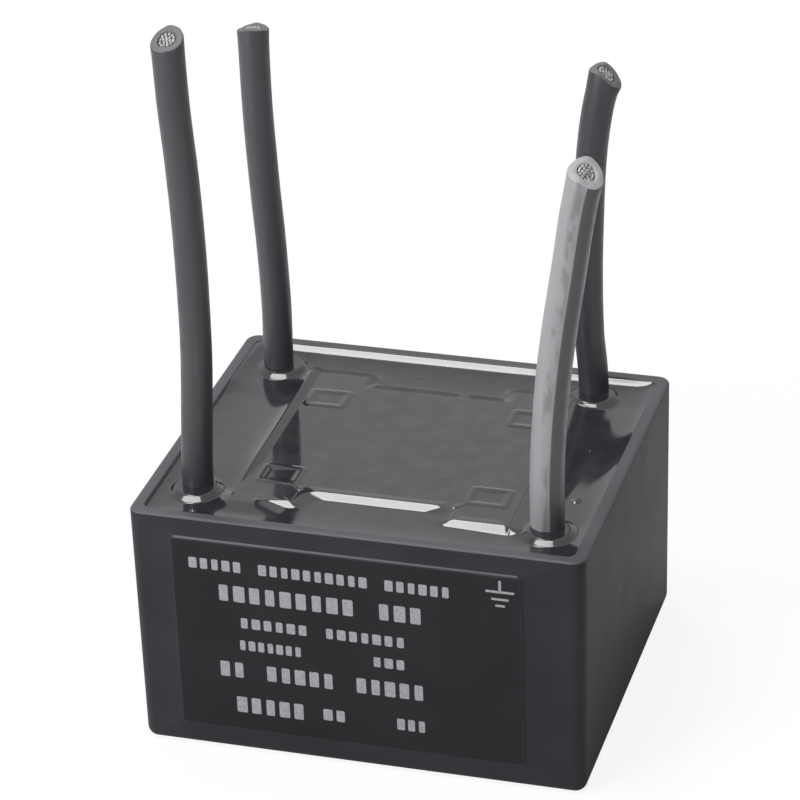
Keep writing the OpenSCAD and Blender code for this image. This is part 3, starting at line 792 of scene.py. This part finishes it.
@dataclass
class CaseShell:
    """The moulded case: drafted walls, rounded foot and rim, and the raised label panel."""

    width: float
    depth: float
    height: float
    wall: float = 1.5
    floor: float = 2.0
    corner: float = 1.6
    inner_corner: float = 0.9
    foot: float = 1.2
    draft: float = 0.2
    rim_out: float = 0.35
    rim_in: float = 0.22
    fillet: float = 0.6
    panel_half: float = 20.5
    panel_x: float = -1.0
    panel_low: float = 3.0
    panel_high: float = 28.0
    panel_proud: float = 0.25
    panel_corner: float = 0.5
    # How far each ring of the panel's edge lies outside the panel, and how proud it stands.
    panel_bevel: tuple[tuple[float, float], ...] = (
        (0.13, 0.0), (0.09, 0.025), (-0.10, 0.165), (-0.17, 0.215), (-0.23, 0.242),
        (-0.28, 0.25), (-0.32, 0.25))
    least_corner: float = 0.15
    floor_corner: float = 0.1
    # Bands of the outer rim, from below, that keep the plain finish; the bands above get the paler
    # colour of painted highlight.
    plain_rim: int = 3
    sharp_deg: float = 35.0

    def lean(self, z: float) -> float:
        """Gives how far the outside leans in at a height."""
        span = self.height - self.rim_out - self.foot
        return self.draft * (1 - min(1.0, max(0.0, (z - self.foot) / span)))

    def inner_half(self, z: float) -> tuple[float, float]:
        """Gives the cavity's half sizes at a height."""
        inset = self.wall + self.draft * (1 - z / self.height)
        return self.width / 2 - inset, self.depth / 2 - inset

    def _panel(self, work: Sheetwork, low: tuple[BMVert, BMVert],
               high: tuple[BMVert, BMVert]) -> None:
        """Fills the open front with its plane, the panel's edge and the panel.

        Args:
            work: the mesh so far.
            low: the two lower corners of the open front, left then right.
            high: the two upper corners, left then right.
        """
        a = low[0].co
        up = (high[0].co - a).normalized()
        outward = Vector((0, -up.z, up.y))
        rise = (self.panel_low - a.z) / up.z, (self.panel_high - a.z) / up.z
        mid = (rise[0] + rise[1]) / 2
        half_v = (rise[1] - rise[0]) / 2

        def loop(grow: float, proud: float) -> list[Vector]:
            """Gives a rounded outline that lies outside the panel by grow and stands proud."""
            flat = rounded_loop(self.panel_half + grow, half_v + grow,
                                self.panel_corner + grow, 0, 6)
            return [Vector((self.panel_x + q.x, a.y, a.z)) + up * (mid + q.y) + outward * proud
                    for q in flat]

        panel, bands = CASE_FINISHES.index(PANEL), len(self.panel_bevel) - 1
        rings = work.stack([loop(*step) for step in self.panel_bevel],
                           [0] * (bands - 1) + [panel], capped=False)
        work.face(rings[-1], panel)
        outer = rings[0]
        n = len(outer) // 4
        # The rounded loop starts at its lower right corner and runs anticlockwise.
        corners = [low[1], high[1], high[0], low[0]]
        cuts = [n * k + n // 2 for k in range(4)]
        for k in range(4):
            nxt = (k + 1) % 4
            run, j = [], cuts[nxt]
            while j != cuts[k]:
                run.append(outer[j])
                j = (j - 1) % len(outer)
            run.append(outer[cuts[k]])
            work.face([corners[k], corners[nxt]] + run)
        # One facet of the upper edge gets the rim's paler colour, a painted highlight where it
        # catches the light.
        top = 2 * n - 1
        p, q = rings[1:3]
        face_at(p[top], p[top + 1], q[top]).material_index = CASE_FINISHES.index(RIM_PAINTED_HIGHLIGHT)

    def build(self, finishes: FinishMaker) -> bpy.types.Object:
        """Builds the case in one closed piece.

        Args:
            finishes: the maker of materials.

        Returns:
            The case.
        """
        work = Sheetwork("case_shell")
        hx, hy = self.width / 2, self.depth / 2
        foot = [(self.draft + self.foot * x, self.foot * z) for x, z in reversed(quarter(8))]
        rim = [(self.rim_out * x, self.height - self.rim_out * z) for x, z in quarter(6)]
        plan = [(hx - i, hy - i, max(self.corner - i, self.least_corner), z)
                for i, z in foot + rim]
        for drop, inset in quarter(4):
            i = self.wall - self.rim_in * inset
            plan.append((hx - i, hy - i, self.inner_corner + self.wall - i,
                         self.height - self.rim_in * drop))
        low_x, low_y = self.inner_half(self.floor + self.fillet)
        plan.append((low_x, low_y, self.inner_corner - self.draft, self.floor + self.fillet))
        plan.append((low_x - self.fillet, low_y - self.fillet, self.floor_corner, self.floor))
        # The outer wall joins the foot to the rim, the inner wall the rim to the floor.
        outer, inner = len(foot) - 1, len(plan) - 3
        # The rim's upper bands carry a painted highlight, and the inner wall a paler grey that
        # paints out its shade.
        slots = [CASE_FINISHES.index(WALL_PAINTED_LIGHT if k == inner else RIM_PAINTED_HIGHLIGHT if k >= outer + self.plain_rim
                                     else CASE)
                 for k in range(len(plan) - 1)]
        rings = work.stack([rounded_loop(*sizes) for sizes in plan], slots)
        low, high = [(ring[-1], ring[0]) for ring in rings[outer:outer + 2]]
        bmesh.ops.delete(work.mesh, geom=[face_at(*low, high[0])], context="FACES_ONLY")
        self._panel(work, low, high)
        piece = work.build([finishes.get(f) for f in CASE_FINISHES], self.sharp_deg)
        declare(piece, "case")
        return piece


@dataclass
class LidPlan:
    """Plan of the notched lid with its four windows."""

    half_x: float
    half_y: float
    top: float
    low: float
    notch_half: float = 9.0
    notch_depth: float = 2.7
    corner: float = 0.6
    inner_corner: float = 0.3
    window_x: float = 12.4
    window_y: float = 9.4
    window_w: float = 4.4
    window_d: float = 3.5
    edge: float = 0.30
    window_edge: float = 0.14
    gate_x: float = 3.15
    gate_w: float = 0.9
    gate_out: float = 0.45
    # The top falls towards the left by this much for each square of the distance from here.
    fall: float = 0.0011
    fall_from: float = -6.0
    # Radii of the block's and the gate's corners and of the windows', in the mesh and in the film.
    sharp: float = 0.05
    window_corner: float = 0.25
    window_round: float = 0.3
    corner_fill: tuple[float, float] = (2.4, 0.7)
    edge_rest: float = 0.06

    def top_at(self, x: float) -> float:
        """Gives the height of the top, which falls a little towards the left edge."""
        return self.top - self.fall * max(0.0, self.fall_from - x) ** 2

    def distance(self, x: float, y: float) -> float:
        """Works out how far a point lies from the lid, whose inner corners are filled.

        Args:
            x: the point's place across.
            y: the point's place in depth.

        Returns:
            The distance to the outline, negative inside.
        """
        block = edge_distance(x, y, self.half_x, self.half_y - self.notch_depth, self.sharp)
        side = (self.half_x - self.notch_half) / 2
        tab = edge_distance(abs(x) - (self.half_x - side), y, side, self.half_y, self.corner)
        if abs(x) >= self.notch_half:
            return min(block, tab)
        fill = self.corner_fill[y > 0]
        mix = max(0.0, 1 - abs(block - tab) / fill)
        return min(block, tab) - mix * mix * fill / 4

    def window_inset(self, x: float, y: float) -> float:
        """Gives how far inside the nearest window a point lies, negative outside."""
        return -edge_distance(abs(x) - self.window_x, abs(y) - self.window_y,
                              self.window_w / 2, self.window_d / 2, self.window_round)

    def corners(self) -> tuple[list[Vector], list[float]]:
        """Works out the outline.

        Returns:
            Its corners, anticlockwise, and the radius of each.
        """
        x, y, nx, ny = self.half_x, self.half_y, self.notch_half, self.half_y - self.notch_depth
        gx, gw, gy = self.gate_x, self.gate_w / 2, ny + self.gate_out
        c, i, s = self.corner, self.inner_corner, self.sharp
        plan = [(x, -y, c), (x, y, c), (nx, y, c), (nx, ny, i), (gx + gw, ny, s), (gx + gw, gy, s),
                (gx - gw, gy, s), (gx - gw, ny, s), (-nx, ny, i), (-nx, y, c), (-x, y, c),
                (-x, -y, c), (-nx, -y, c), (-nx, -ny, i), (nx, -ny, i), (nx, -y, c)]
        return [Vector(p[:2]) for p in plan], [p[2] for p in plan]

    def build(self, finishes: FinishMaker) -> bpy.types.Object:
        """Builds the lid as a plate with rounded edges and four rounded windows.

        Args:
            finishes: the maker of materials.

        Returns:
            The lid.
        """
        work = Sheetwork("lid_plate")
        w, d = self.window_w / 2, self.window_d / 2
        outlines = [(*self.corners(), self.edge)]
        for sx, sy in ((-1, -1), (-1, 1), (1, -1), (1, 1)):
            x, y = sx * self.window_x, sy * self.window_y
            hole = [Vector(p) for p in ((x + w, y - d), (x - w, y - d), (x - w, y + d),
                                        (x + w, y + d))]
            outlines.append((hole, [self.window_corner] * 4, self.window_edge))
        top, bottom = [], []
        for corners, radii, edge in outlines:
            loops = [inset_outline(corners, radii, 0.0, self.low)]
            for inset, drop in [(edge * x, edge * z) for x, z in quarter(4)] + [
                    (edge + self.edge_rest, 0.0)]:
                loops.append([Vector((q.x, q.y, self.top_at(q.x) - drop))
                              for q in inset_outline(corners, radii, inset, 0.0)])
            rings = work.stack(loops, capped=False)
            top.append(rings[-1])
            bottom.append(rings[0])
        for loops in (top, bottom):
            flat = [vert for loop in loops for vert in loop]
            for tri in tessellate_polygon([[vert.co for vert in loop] for loop in loops]):
                work.face([flat[k] for k in tri])
        piece = work.build([finishes.get(LID)], SHARP_DEG, merge=True)
        declare(piece, "holder_lid")
        return piece


def inset_outline(corners: list[Vector], radii: list[float], inset: float, z: float,
                  steps: int = 5) -> list[Vector]:
    """Gives a square-cornered outline drawn inwards, with its corners rounded.

    Args:
        corners: the outline's corners in the plan, the solid lying to the left.
        radii: the radius at each corner.
        inset: how far the outline is drawn in.
        z: the height of the loop.
        steps: segments on each corner.

    Returns:
        The loop's points.
    """
    out = []
    for k, (corner, radius) in enumerate(zip(corners, radii)):
        before = (corner - corners[k - 1]).normalized()
        after = (corners[(k + 1) % len(corners)] - corner).normalized()
        n1, n2 = Vector((-before.y, before.x)), Vector((-after.y, after.x))
        side = 1 if before.x * after.y - before.y * after.x > 0 else -1
        bend = max(radius - side * inset, 0.02)
        centre = corner + (n1 + n2) * (inset + side * bend)
        for j in range(steps + 1):
            a = math.pi / 2 * j / steps
            p = centre - (n1 * math.cos(a) + n2 * math.sin(a)) * side * bend
            out.append(Vector((p.x, p.y, z)))
    return out


@dataclass
class ResinPour:
    """The potting resin: a level gloss surface that climbs at walls, leads and lid."""

    shell: CaseShell
    lid: LidPlan
    leads: list[Lead]
    level: float
    lift_off: float = 0.03
    # Height and reach of the climb at each wall.
    climb_rear: tuple[float, float] = (0.62, 0.98)
    climb_front: tuple[float, float] = (0.40, 1.8)
    climb_right: tuple[float, float] = (0.61, 1.45)
    climb_left: tuple[float, float] = (0.48, 1.6)
    # More climb at the left, up to a place along Y, and a low bank at the rear, with widths.
    corner_climb: tuple[float, float, float] = (0.50, 11.5, 4.0)
    rear_bank: tuple[float, float] = (0.25, 6.0)
    rim_gap: float = 0.12
    # Height, spacing and place in the noise of the slow waves, and the power that joins climbs.
    wave: tuple[float, float, float] = (0.010, 0.13, 4.0)
    join: float = 2.5
    # Slope and soft foot of the banks on each side of the lid.
    front_ledge: tuple[float, float] = (0.42, 0.4)
    back_ledge: tuple[float, float] = (0.80, 0.3)
    right_ledge: tuple[float, float] = (0.095, 2.2)
    # How much lower the surface lies right of the lid, and over what width it gets there.
    right_drop: tuple[float, float] = (0.11, 8.0)
    lid_reach: float = 1.0
    # How far to each side the lid's edge is felt for, to tell which way it faces.
    probe: float = 0.05
    # How far the resin laps over the lid's front edges, and the height and width of its lip.
    front_lap: float = 0.45
    front_lip: tuple[float, float] = (0.13, 1.6)
    # Height and width of the soft ridge behind the lid, and the bead along its left edge.
    ridge: tuple[float, float] = (0.15, 0.9)
    gate_fade: float = 0.6
    bead: tuple[float, float, float] = (0.40, 0.34, 0.3)
    bead_end: tuple[float, float] = (-14.5, 9.5)
    film: float = 0.03
    window_lip: float = 0.09
    window_depth: float = 0.03
    window_reach: float = 0.8
    # Height, slope, soft foot and soft shoulder of the bank round each lead.
    collar_bank: tuple[float, float, float, float] = (0.70, 0.74, 0.35, 0.30)
    collar_mix: float = 0.12
    collar_reach: float = 1.5
    # Shift of each collar from its lead, and its radius.
    collars: tuple[tuple[float, float, float], ...] = (
        (0.15, -1.15, 2.2), (0.55, -0.15, 2.3), (0.3, -1.35, 2.2), (0.5, -1.05, 2.3))
    # A shelf of resin in front of the left tab: its height, and where each side starts and ends.
    shelf: float = 0.42
    shelf_left: tuple[float, float] = (-16.0, 3.0)
    shelf_right: tuple[float, float, float] = (-13.2, 0.12, 0.5)
    shelf_front: tuple[float, float] = (-16.3, 2.8)
    shelf_rear: tuple[float, float] = (-15.4, 2.4)
    # Small bumps: where each lies, its radius and its height.
    dots: tuple[tuple[float, float, float, float], ...] = (
        (-19.6, -19.4, 0.5, 0.19), (21.9, -7.5, 0.65, 0.17), (-3.2, 17.4, 0.4, 0.06),
        (20.6, 4.3, 0.35, 0.05))
    # The grid: its spacing, the finer one near the leads and dots, and its overlap with the wall.
    cell: float = 0.2
    fine_cell: float = 0.12
    fine_reach: float = 3.4
    fine_shift: float = 1.2
    overlap: float = 0.06
    foot_scale: float = 0.99
    sharp_deg: float = 42.0

    @staticmethod
    def ramp(gap: float, width: float) -> float:
        """Gives a soft slope that falls from 1 at no gap to 0 at the given width."""
        t = min(1.0, max(0.0, gap / width))
        return 1 - t * t * (3 - 2 * t)

    @staticmethod
    def bank(gap: float, height: float, slope: float, blend: float, crest: float = 0.0) -> float:
        """Gives a straight bank of a height at no gap, with a soft foot and shoulder.

        Args:
            gap: distance from what the resin climbs.
            height: its height there.
            slope: its fall per millimetre.
            blend: width of the soft foot.
            crest: width of the soft shoulder.

        Returns:
            The bank's height at that distance.
        """
        if gap < crest:
            return height - slope * gap * gap / (2 * crest)
        gap -= crest / 2
        foot = height / slope + blend / 2
        if gap >= foot:
            return 0.0
        if gap > foot - blend:
            return slope * (foot - gap) ** 2 / (2 * blend)
        return height - slope * gap

    def _lid_edge(self, x: float, y: float) -> float:
        """Works out the height that the resin reaches on the lid, with a bead at its left edge.

        Args:
            x: the point's place across.
            y: the point's place in depth.

        Returns:
            The height.
        """
        x = max(x, -self.lid.half_x)
        high, slope, blend = self.bead
        high *= 1 - self.ramp(y - self.bead_end[0], self.bead_end[1])
        return self.lid.top_at(x) + self.bank(x + self.lid.half_x, high, slope, blend)

    def _on_lid(self, x: float, y: float) -> float:
        """Works out the film on the lid, with a soft lip round each window.

        Args:
            x: the point's place across.
            y: the point's place in depth.

        Returns:
            The film's height.
        """
        inset = self.lid.window_inset(x, y)
        low = -self.film if inset < 0 else -self.window_depth
        return self._lid_edge(x, y) + low + (self.window_lip - low) * self.ramp(
            abs(inset), self.window_reach)

    def _floor(self, x: float) -> float:
        """Works out the flat surface, which lies lower at the right of the lid.

        Args:
            x: a place across.

        Returns:
            The surface's height there.
        """
        drop, width = self.right_drop
        fall = 1 - self.ramp(x - self.lid.half_x + width, width)
        return self.level + self.lift_off - drop * fall

    def _shelf(self, x: float, y: float) -> float:
        """Gives the height of the shelf in front of the left tab."""
        start, slope, blend = self.shelf_right
        return (self.bank(max(0.0, x - start), self.shelf, slope, blend)
                * self.ramp(self.shelf_left[0] - x, self.shelf_left[1])
                * self.ramp(self.shelf_front[0] - y, self.shelf_front[1])
                * self.ramp(y - self.shelf_rear[0], self.shelf_rear[1]))

    def _off_lid(self, x: float, y: float, gap: float, facing: float, lip: float) -> float:
        """Works out the surface beside the lid, without the leads' collars.

        Args:
            x: the point's place across.
            y: the point's place in depth.
            gap: its distance from the lid.
            facing: 1 in front of the lid, -1 behind it and 0 at its sides.
            lip: height of the lip at the lid's front edges.

        Returns:
            The surface's height.
        """
        half_x, half_y = self.shell.inner_half(self.level)
        high, spacing, level = self.wave
        base = self._floor(x) + high * noise.noise(Vector((x * spacing, y * spacing, level)))
        base += self.rear_bank[0] * self.ramp(half_y - y, self.rear_bank[1]) + self._shelf(x, y)
        high, start, width = self.corner_climb
        corner = high * self.ramp(start - y, width)
        rises = [(climb + more) * math.exp(-max(0.0, d) / reach) for d, (climb, reach), more in (
            (half_y - y, self.climb_rear, 0), (half_y + y, self.climb_front, 0),
            (half_x - x, self.climb_right, 0), (half_x + x, self.climb_left, corner))]
        lift = max(0.0, self._lid_edge(x, y) - self.film - base)
        share = facing * facing
        if facing > 0:
            ledge = self.bank(gap, lift + lip, *self.front_ledge)
        else:
            high, wide = self.ridge
            beside = abs(x - self.lid.gate_x) - self.lid.gate_w / 2
            high *= 1 - self.ramp(beside, self.gate_fade)
            ledge = self.bank(max(0.0, gap - wide), lift + high, *self.back_ledge)
            ledge -= high * self.ramp(gap, wide)
        side = (self.bank(gap, lift, *self.right_ledge) if x > self.lid.half_x
                else lift * math.exp(-gap / self.lid_reach))
        rises.append(share * ledge + (1 - share) * side)
        dots = sum(high * self.ramp(math.hypot(x - dx, y - dy), size)
                   for dx, dy, size, high in self.dots)
        return base + dots + sum(r ** self.join for r in rises) ** (1 / self.join)

    def height(self, x: float, y: float) -> float:
        """Works out the whole surface.

        Args:
            x: a place across.
            y: a place in depth.

        Returns:
            The surface's height there.
        """
        step, away = self.probe, self.lid.distance
        facing = min(1.0, max(-1.0, (away(x, y - step) - away(x, y + step)) / (2 * step)))
        bare = 1 - self._shelf(x, y) / self.shelf
        front = bare * facing ** 2 if facing > 0 else 0.0
        lip, reach = self.front_lip
        gap = away(x, y) + self.front_lap * front
        if gap < 0:
            total = self._on_lid(x, y) + front * lip * self.ramp(-gap, reach)
        else:
            total = self._off_lid(x, y, gap, facing, bare * lip)
        for lead, (dx, dy, size) in zip(self.leads, self.collars):
            far = math.hypot(x - lead.at[0] - dx, y - lead.at[1] - dy) - size
            if far < self.collar_reach:
                rise = self._floor(x) + self.bank(max(0.0, far), *self.collar_bank)
                mix = max(0.0, 1 - abs(rise - total) / self.collar_mix)
                total = max(total, rise) + mix * mix * self.collar_mix / 4
        return min(total, self.shell.height - self.rim_gap)

    def _lines(self, half: float, fine: list[tuple[float, float]]) -> list[float]:
        """Spaces the grid's lines from edge to edge.

        Args:
            half: half of the grid's width.
            fine: places, each with a reach within which the lines lie closer.

        Returns:
            The places of the lines.
        """
        out = [-half]
        while out[-1] < half:
            near = any(abs(out[-1] - at) < reach for at, reach in fine)
            out.append(out[-1] + (self.fine_cell if near else self.cell))
        stretch = 2 * half / (out[-1] + half)
        return [(v + half) * stretch - half for v in out]

    def build(self, finishes: FinishMaker) -> bpy.types.Object:
        """Builds the resin as a closed block under its surface.

        Args:
            finishes: the maker of materials.

        Returns:
            The resin.
        """
        work = Sheetwork("resin_block")
        half_x, half_y = self.shell.inner_half(self.level)
        columns = self._lines(half_x + self.overlap,
                              [(lead.at[0], self.fine_reach) for lead in self.leads])
        fine = [(lead.at[1] - self.fine_shift, self.fine_reach) for lead in self.leads]
        fine += [(dot[1], dot[2]) for dot in self.dots]
        rows = self._lines(half_y + self.overlap, fine)
        last_x, last_y = len(columns) - 1, len(rows) - 1
        # The even grid lies between -1 and 1, so a point's place tells its column and row.
        grid = bmesh.ops.create_grid(work.mesh, x_segments=last_x, y_segments=last_y, size=1)
        for vert in grid["verts"]:
            x = columns[round((vert.co.x + 1) / 2 * last_x)]
            y = rows[round((vert.co.y + 1) / 2 * last_y)]
            vert.co = (x, y, self.height(x, y))
        edge = [e for e in work.mesh.edges if e.is_boundary]
        sides = bmesh.ops.extrude_edge_only(work.mesh, edges=edge)["geom"]
        for vert in (v for v in sides if isinstance(v, BMVert)):
            vert.co = (vert.co.x * self.foot_scale, vert.co.y * self.foot_scale, self.shell.floor)
        bmesh.ops.holes_fill(work.mesh, edges=work.mesh.edges)
        piece = work.build([finishes.get(RESIN)], self.sharp_deg)
        declare(piece, "potting_resin")
        return piece


@dataclass
class PanelPrint:
    """Plain pale blocks and an earth symbol, printed on the raised panel."""

    shell: CaseShell
    sunk: float = 0.01
    proud: float = 0.02
    clip: float = 0.12
    sharp_deg: float = 30.0
    # Gap between words, and the least and the further part of each block's width left bare.
    space: float = 1.3
    bare: tuple[float, float] = (0.26, 0.16)
    rows: tuple[tuple[float, float, float, float, tuple[int, ...]], ...] = (
        # left, right, bottom, top, widths of the blocks in each word
        (-19.5, 11.4, 24.25, 25.65, (5, 10, 6)),
        (-16.3, 8.1, 20.35, 22.45, (9, 3)),
        (-13.8, 6.0, 16.95, 18.3, (6, 7)),
        (-14.0, -6.3, 14.0, 15.3, (7,)),
        (1.8, 5.9, 14.0, 15.3, (3,)),
        (-16.6, 8.1, 10.2, 12.2, (2, 5, 5)),
        (-14.8, -6.3, 5.5, 7.6, (5,)),
        (-4.4, -1.4, 5.9, 7.4, (2,)),
        (4.4, 8.1, 5.9, 7.4, (3,)),
    )
    earth_x: float = 17.0
    # Half width, bottom and top of each bar of the earth symbol.
    earth_bars: tuple[tuple[float, float, float], ...] = (
        (0.16, 25.9, 27.35), (1.65, 25.72, 26.02), (1.0, 24.78, 25.06), (0.55, 23.95, 24.23))

    def _block(self, work: Sheetwork, x0: float, x1: float, z0: float, z1: float) -> None:
        """Adds a thin block with clipped corners, lying on the panel.

        Args:
            work: the mesh so far.
            x0: the block's left side.
            x1: its right side.
            z0: its lower side.
            z1: its upper side.
        """
        clip = min(self.clip, (x1 - x0) / 4, (z1 - z0) / 4)
        plan = [(x0 + clip, z0), (x1 - clip, z0), (x1, z0 + clip), (x1, z1 - clip),
                (x1 - clip, z1), (x0 + clip, z1), (x0, z1 - clip), (x0, z0 + clip)]
        work.stack([[(x, self.front(z) - out, z) for x, z in plan]
                    for out in (-self.sunk, self.proud)])

    def front(self, z: float) -> float:
        """Gives the place of the panel's surface along Y at a height."""
        return -self.shell.depth / 2 + self.shell.lean(z) - self.shell.panel_proud

    def build(self, finishes: FinishMaker) -> bpy.types.Object:
        """Builds the whole print in one piece.

        Args:
            finishes: the maker of materials.

        Returns:
            The print.
        """
        work = Sheetwork("panel_print")
        for left, right, low, high, words in self.rows:
            unit = (right - left) / (sum(words) + self.space * (len(words) - 1))
            x = left
            for count in words:
                for k in range(count):
                    # The widths come in three steps that don't repeat from word to word.
                    bare = self.bare[0] + self.bare[1] * ((7 * k + 3 * count + round(low)) % 3) / 2
                    self._block(work, x + unit * bare / 2, x + unit * (1 - bare / 2), low, high)
                    x += unit
                x += unit * self.space
        for half, low, high in self.earth_bars:
            self._block(work, self.earth_x - half, self.earth_x + half, low, high)
        piece = work.build([finishes.get(INK_PALE)], self.sharp_deg)
        declare(piece)
        return piece


def show_nodes(nodes: dict[str, Finish], finishes: FinishMaker) -> None:
    """Gives CAD nodes that stay their materials.

    Args:
        nodes: finish of each node, by the node's name.
        finishes: the maker of materials.
    """
    for name, finish in nodes.items():
        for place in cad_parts[name].material_slots:
            place.material = finishes.get(finish)
        log.info("%s: %s", name, finish.name)


@dataclass
class Studio:
    """A plain pale floor, a white surround and soft lamps. Sizes are in metres."""

    floor_size: float = 6.0
    floor_grey: tuple[float, float, float, float] = (0.84, 0.84, 0.84, 1)
    floor_glow: float = 0.88
    surround: float = 1.0
    fill: float = 0.34
    aim: tuple[float, float, float] = (0, 0, 0.03)
    lamps: tuple[tuple[str, tuple, tuple, float], ...] = (
        # name, place, size, power
        ("rear_strip", (-0.26, 0.33, 0.93), (0.26, 0.38), 2.9),
        ("top_box", (-0.20, -0.17, 0.96), (0.84, 0.26), 5.6),
        ("front_fill", (-0.24, -0.36, 0.22), (0.22, 0.18), 1.5),
    )

    def _surround(self) -> None:
        """Makes the world white to the camera and in reflections, and plain light otherwise."""
        world = bpy.data.worlds.new("white_surround")
        bpy.context.scene.world = world
        world.use_nodes = True
        tree = world.node_tree
        tree.nodes.clear()
        path = add_node(tree, "LightPath").outputs
        seen = path["Is Camera Ray"]
        for kind in ("Is Glossy Ray", "Is Transmission Ray"):
            seen = add_node(tree, "Math", {"operation": "MAXIMUM"}, i0=seen, i1=path[kind])
        strength = add_node(tree, "MapRange", i0=seen, i1=0.0, i2=1.0, i3=self.fill,
                            i4=self.surround)
        add_node(tree, "OutputWorld", Surface=add_node(
            tree, "Background", Color=WHITE, Strength=strength))

    def _floor(self) -> None:
        """Makes the floor pale to the camera, and plain grey to everything else."""
        work = Sheetwork("studio_floor")
        bmesh.ops.create_grid(work.mesh, x_segments=1, y_segments=1,
                              size=self.floor_size / 2 / MM)
        material = bpy.data.materials.new("floor_white")
        material.use_nodes = True
        tree = material.node_tree
        tree.nodes.clear()
        share = add_node(tree, "Math", {"operation": "MULTIPLY"}, i1=self.floor_glow,
                         i0=add_node(tree, "LightPath").outputs["Is Camera Ray"])
        add_node(tree, "OutputMaterial", Surface=add_node(
            tree, "MixShader", i0=share, i1=add_node(tree, "BsdfDiffuse", Color=self.floor_grey),
            i2=add_node(tree, "Emission", Color=WHITE, Strength=1.0)))
        work.build([material])

    def build(self) -> None:
        """Builds the surround, the floor and the lamps, which face the part."""
        self._surround()
        self._floor()
        for name, place, size, power in self.lamps:
            data = bpy.data.lights.new(name, "AREA")
            data.shape = "ELLIPSE"
            data.size, data.size_y = size
            data.energy = power
            lamp = add_object(name, data)
            lamp.location = place
            back = (Vector(place) - Vector(self.aim)).normalized()
            long = (Vector((0, 1, 0)) - back * back.y).normalized()
            turn = Matrix((long.cross(back), long, back)).transposed()
            lamp.rotation_euler = turn.to_euler()
            log.info("%s: %.1f W", name, power)


# The part

LEADS = (
    dict(name="line_lead_1", finish=JACKET_1, at=(-21.0, -13.5), cut=(-0.13, -0.52, 1.0),
         nip=0.25, flare=0.04, lift=0.45,
         rise=[(0.3, 0.1, 38), (0.7, 0.2, 46), (0.8, 0.2, 54), (0.7, 0.2, 62), (0.4, 0.1, 70),
               (0, 0, 77), (-0.2, -0.1, 84.3)]),
    dict(name="line_lead_2", finish=JACKET_2, at=(-20.8, 16.3), cut=(-0.09, 0.12, 1.0),
         nip=0.38, flare=0.05, lift=0.25,
         rise=[(0.1, 0, 38), (-0.1, -0.1, 46), (-0.5, -0.2, 54), (-0.8, -0.3, 62),
               (-0.9, -0.3, 68), (-0.9, -0.3, 73.9)]),
    dict(name="line_lead_3", finish=JACKET_3, at=(17.9, 18.4), cut=(0.30, -0.12, 1.0),
         nip=0.85, flare=0.13, lift=0.25, nip_shift=-0.7,
         rise=[(-0.5, -0.1, 38), (-0.6, -0.1, 46), (-0.4, 0, 54), (0, 0, 61), (0.7, 0.2, 66.5),
               (1.7, 0.5, 70.8)]),
    dict(name="earth_lead", finish=JACKET_4, at=(20.3, -14.0), cut=(0.28, -0.41, 1.0),
         nip=0.65, flare=0.05, lift=-0.05, nip_shift=-0.5, diameter=3.9,
         cut_finish=CUT_LIGHT, slot="earth_lead_jacket",
         rise=[(0.1, 0, 38), (0.6, 0.2, 46), (1.5, 0.4, 54), (2.5, 0.8, 61), (3.5, 1.1, 68),
               (4.5, 1.4, 73.2)]),
)
RESIN_BELOW_RIM = 1.0
INNER_FINISHES = {
    "wiring_board": BOARD, "element_holder": HOLDER, "gas_tube_ceramic": CERAMIC,
    "gas_tube_line_electrode": ELECTRODE, "gas_tube_earth_electrode": ELECTRODE,
    "gas_tube_pins": PINS, "lead_solder": SOLDER, "component_solder": SOLDER,
    **{f"{name}_{k}": finish for k in (1, 2, 3) for name, finish in (
        ("varistor", VARISTOR), ("varistor_pins", PINS), ("thermal_fuse", FUSE),
        ("fuse_pins", PINS))},
}


def main() -> None:
    """Builds everything in order."""
    logging.basicConfig(level=logging.INFO, format="%(name)s %(message)s")
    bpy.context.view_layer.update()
    finishes = FinishMaker()
    Camera().build()

    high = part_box("case")[1] / MM
    shell = CaseShell(width=2 * high.x, depth=2 * high.y, height=high.z)
    level = shell.height - RESIN_BELOW_RIM
    leads = [Lead(resin_z=level, **sizes) for sizes in LEADS]
    for lead in leads:
        lead.build(finishes)
    shell.build(finishes)
    low, high = (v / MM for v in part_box("holder_lid"))
    lid = LidPlan(half_x=high.x, half_y=high.y, top=high.z, low=low.z)
    lid.build(finishes)
    ResinPour(shell, lid, leads, level).build(finishes)
    PanelPrint(shell).build(finishes)
    show_nodes(INNER_FINISHES, finishes)
    Studio().build()

    view = bpy.context.scene.view_settings
    view.view_transform = "Standard"


if __name__ == "__main__":
    main()
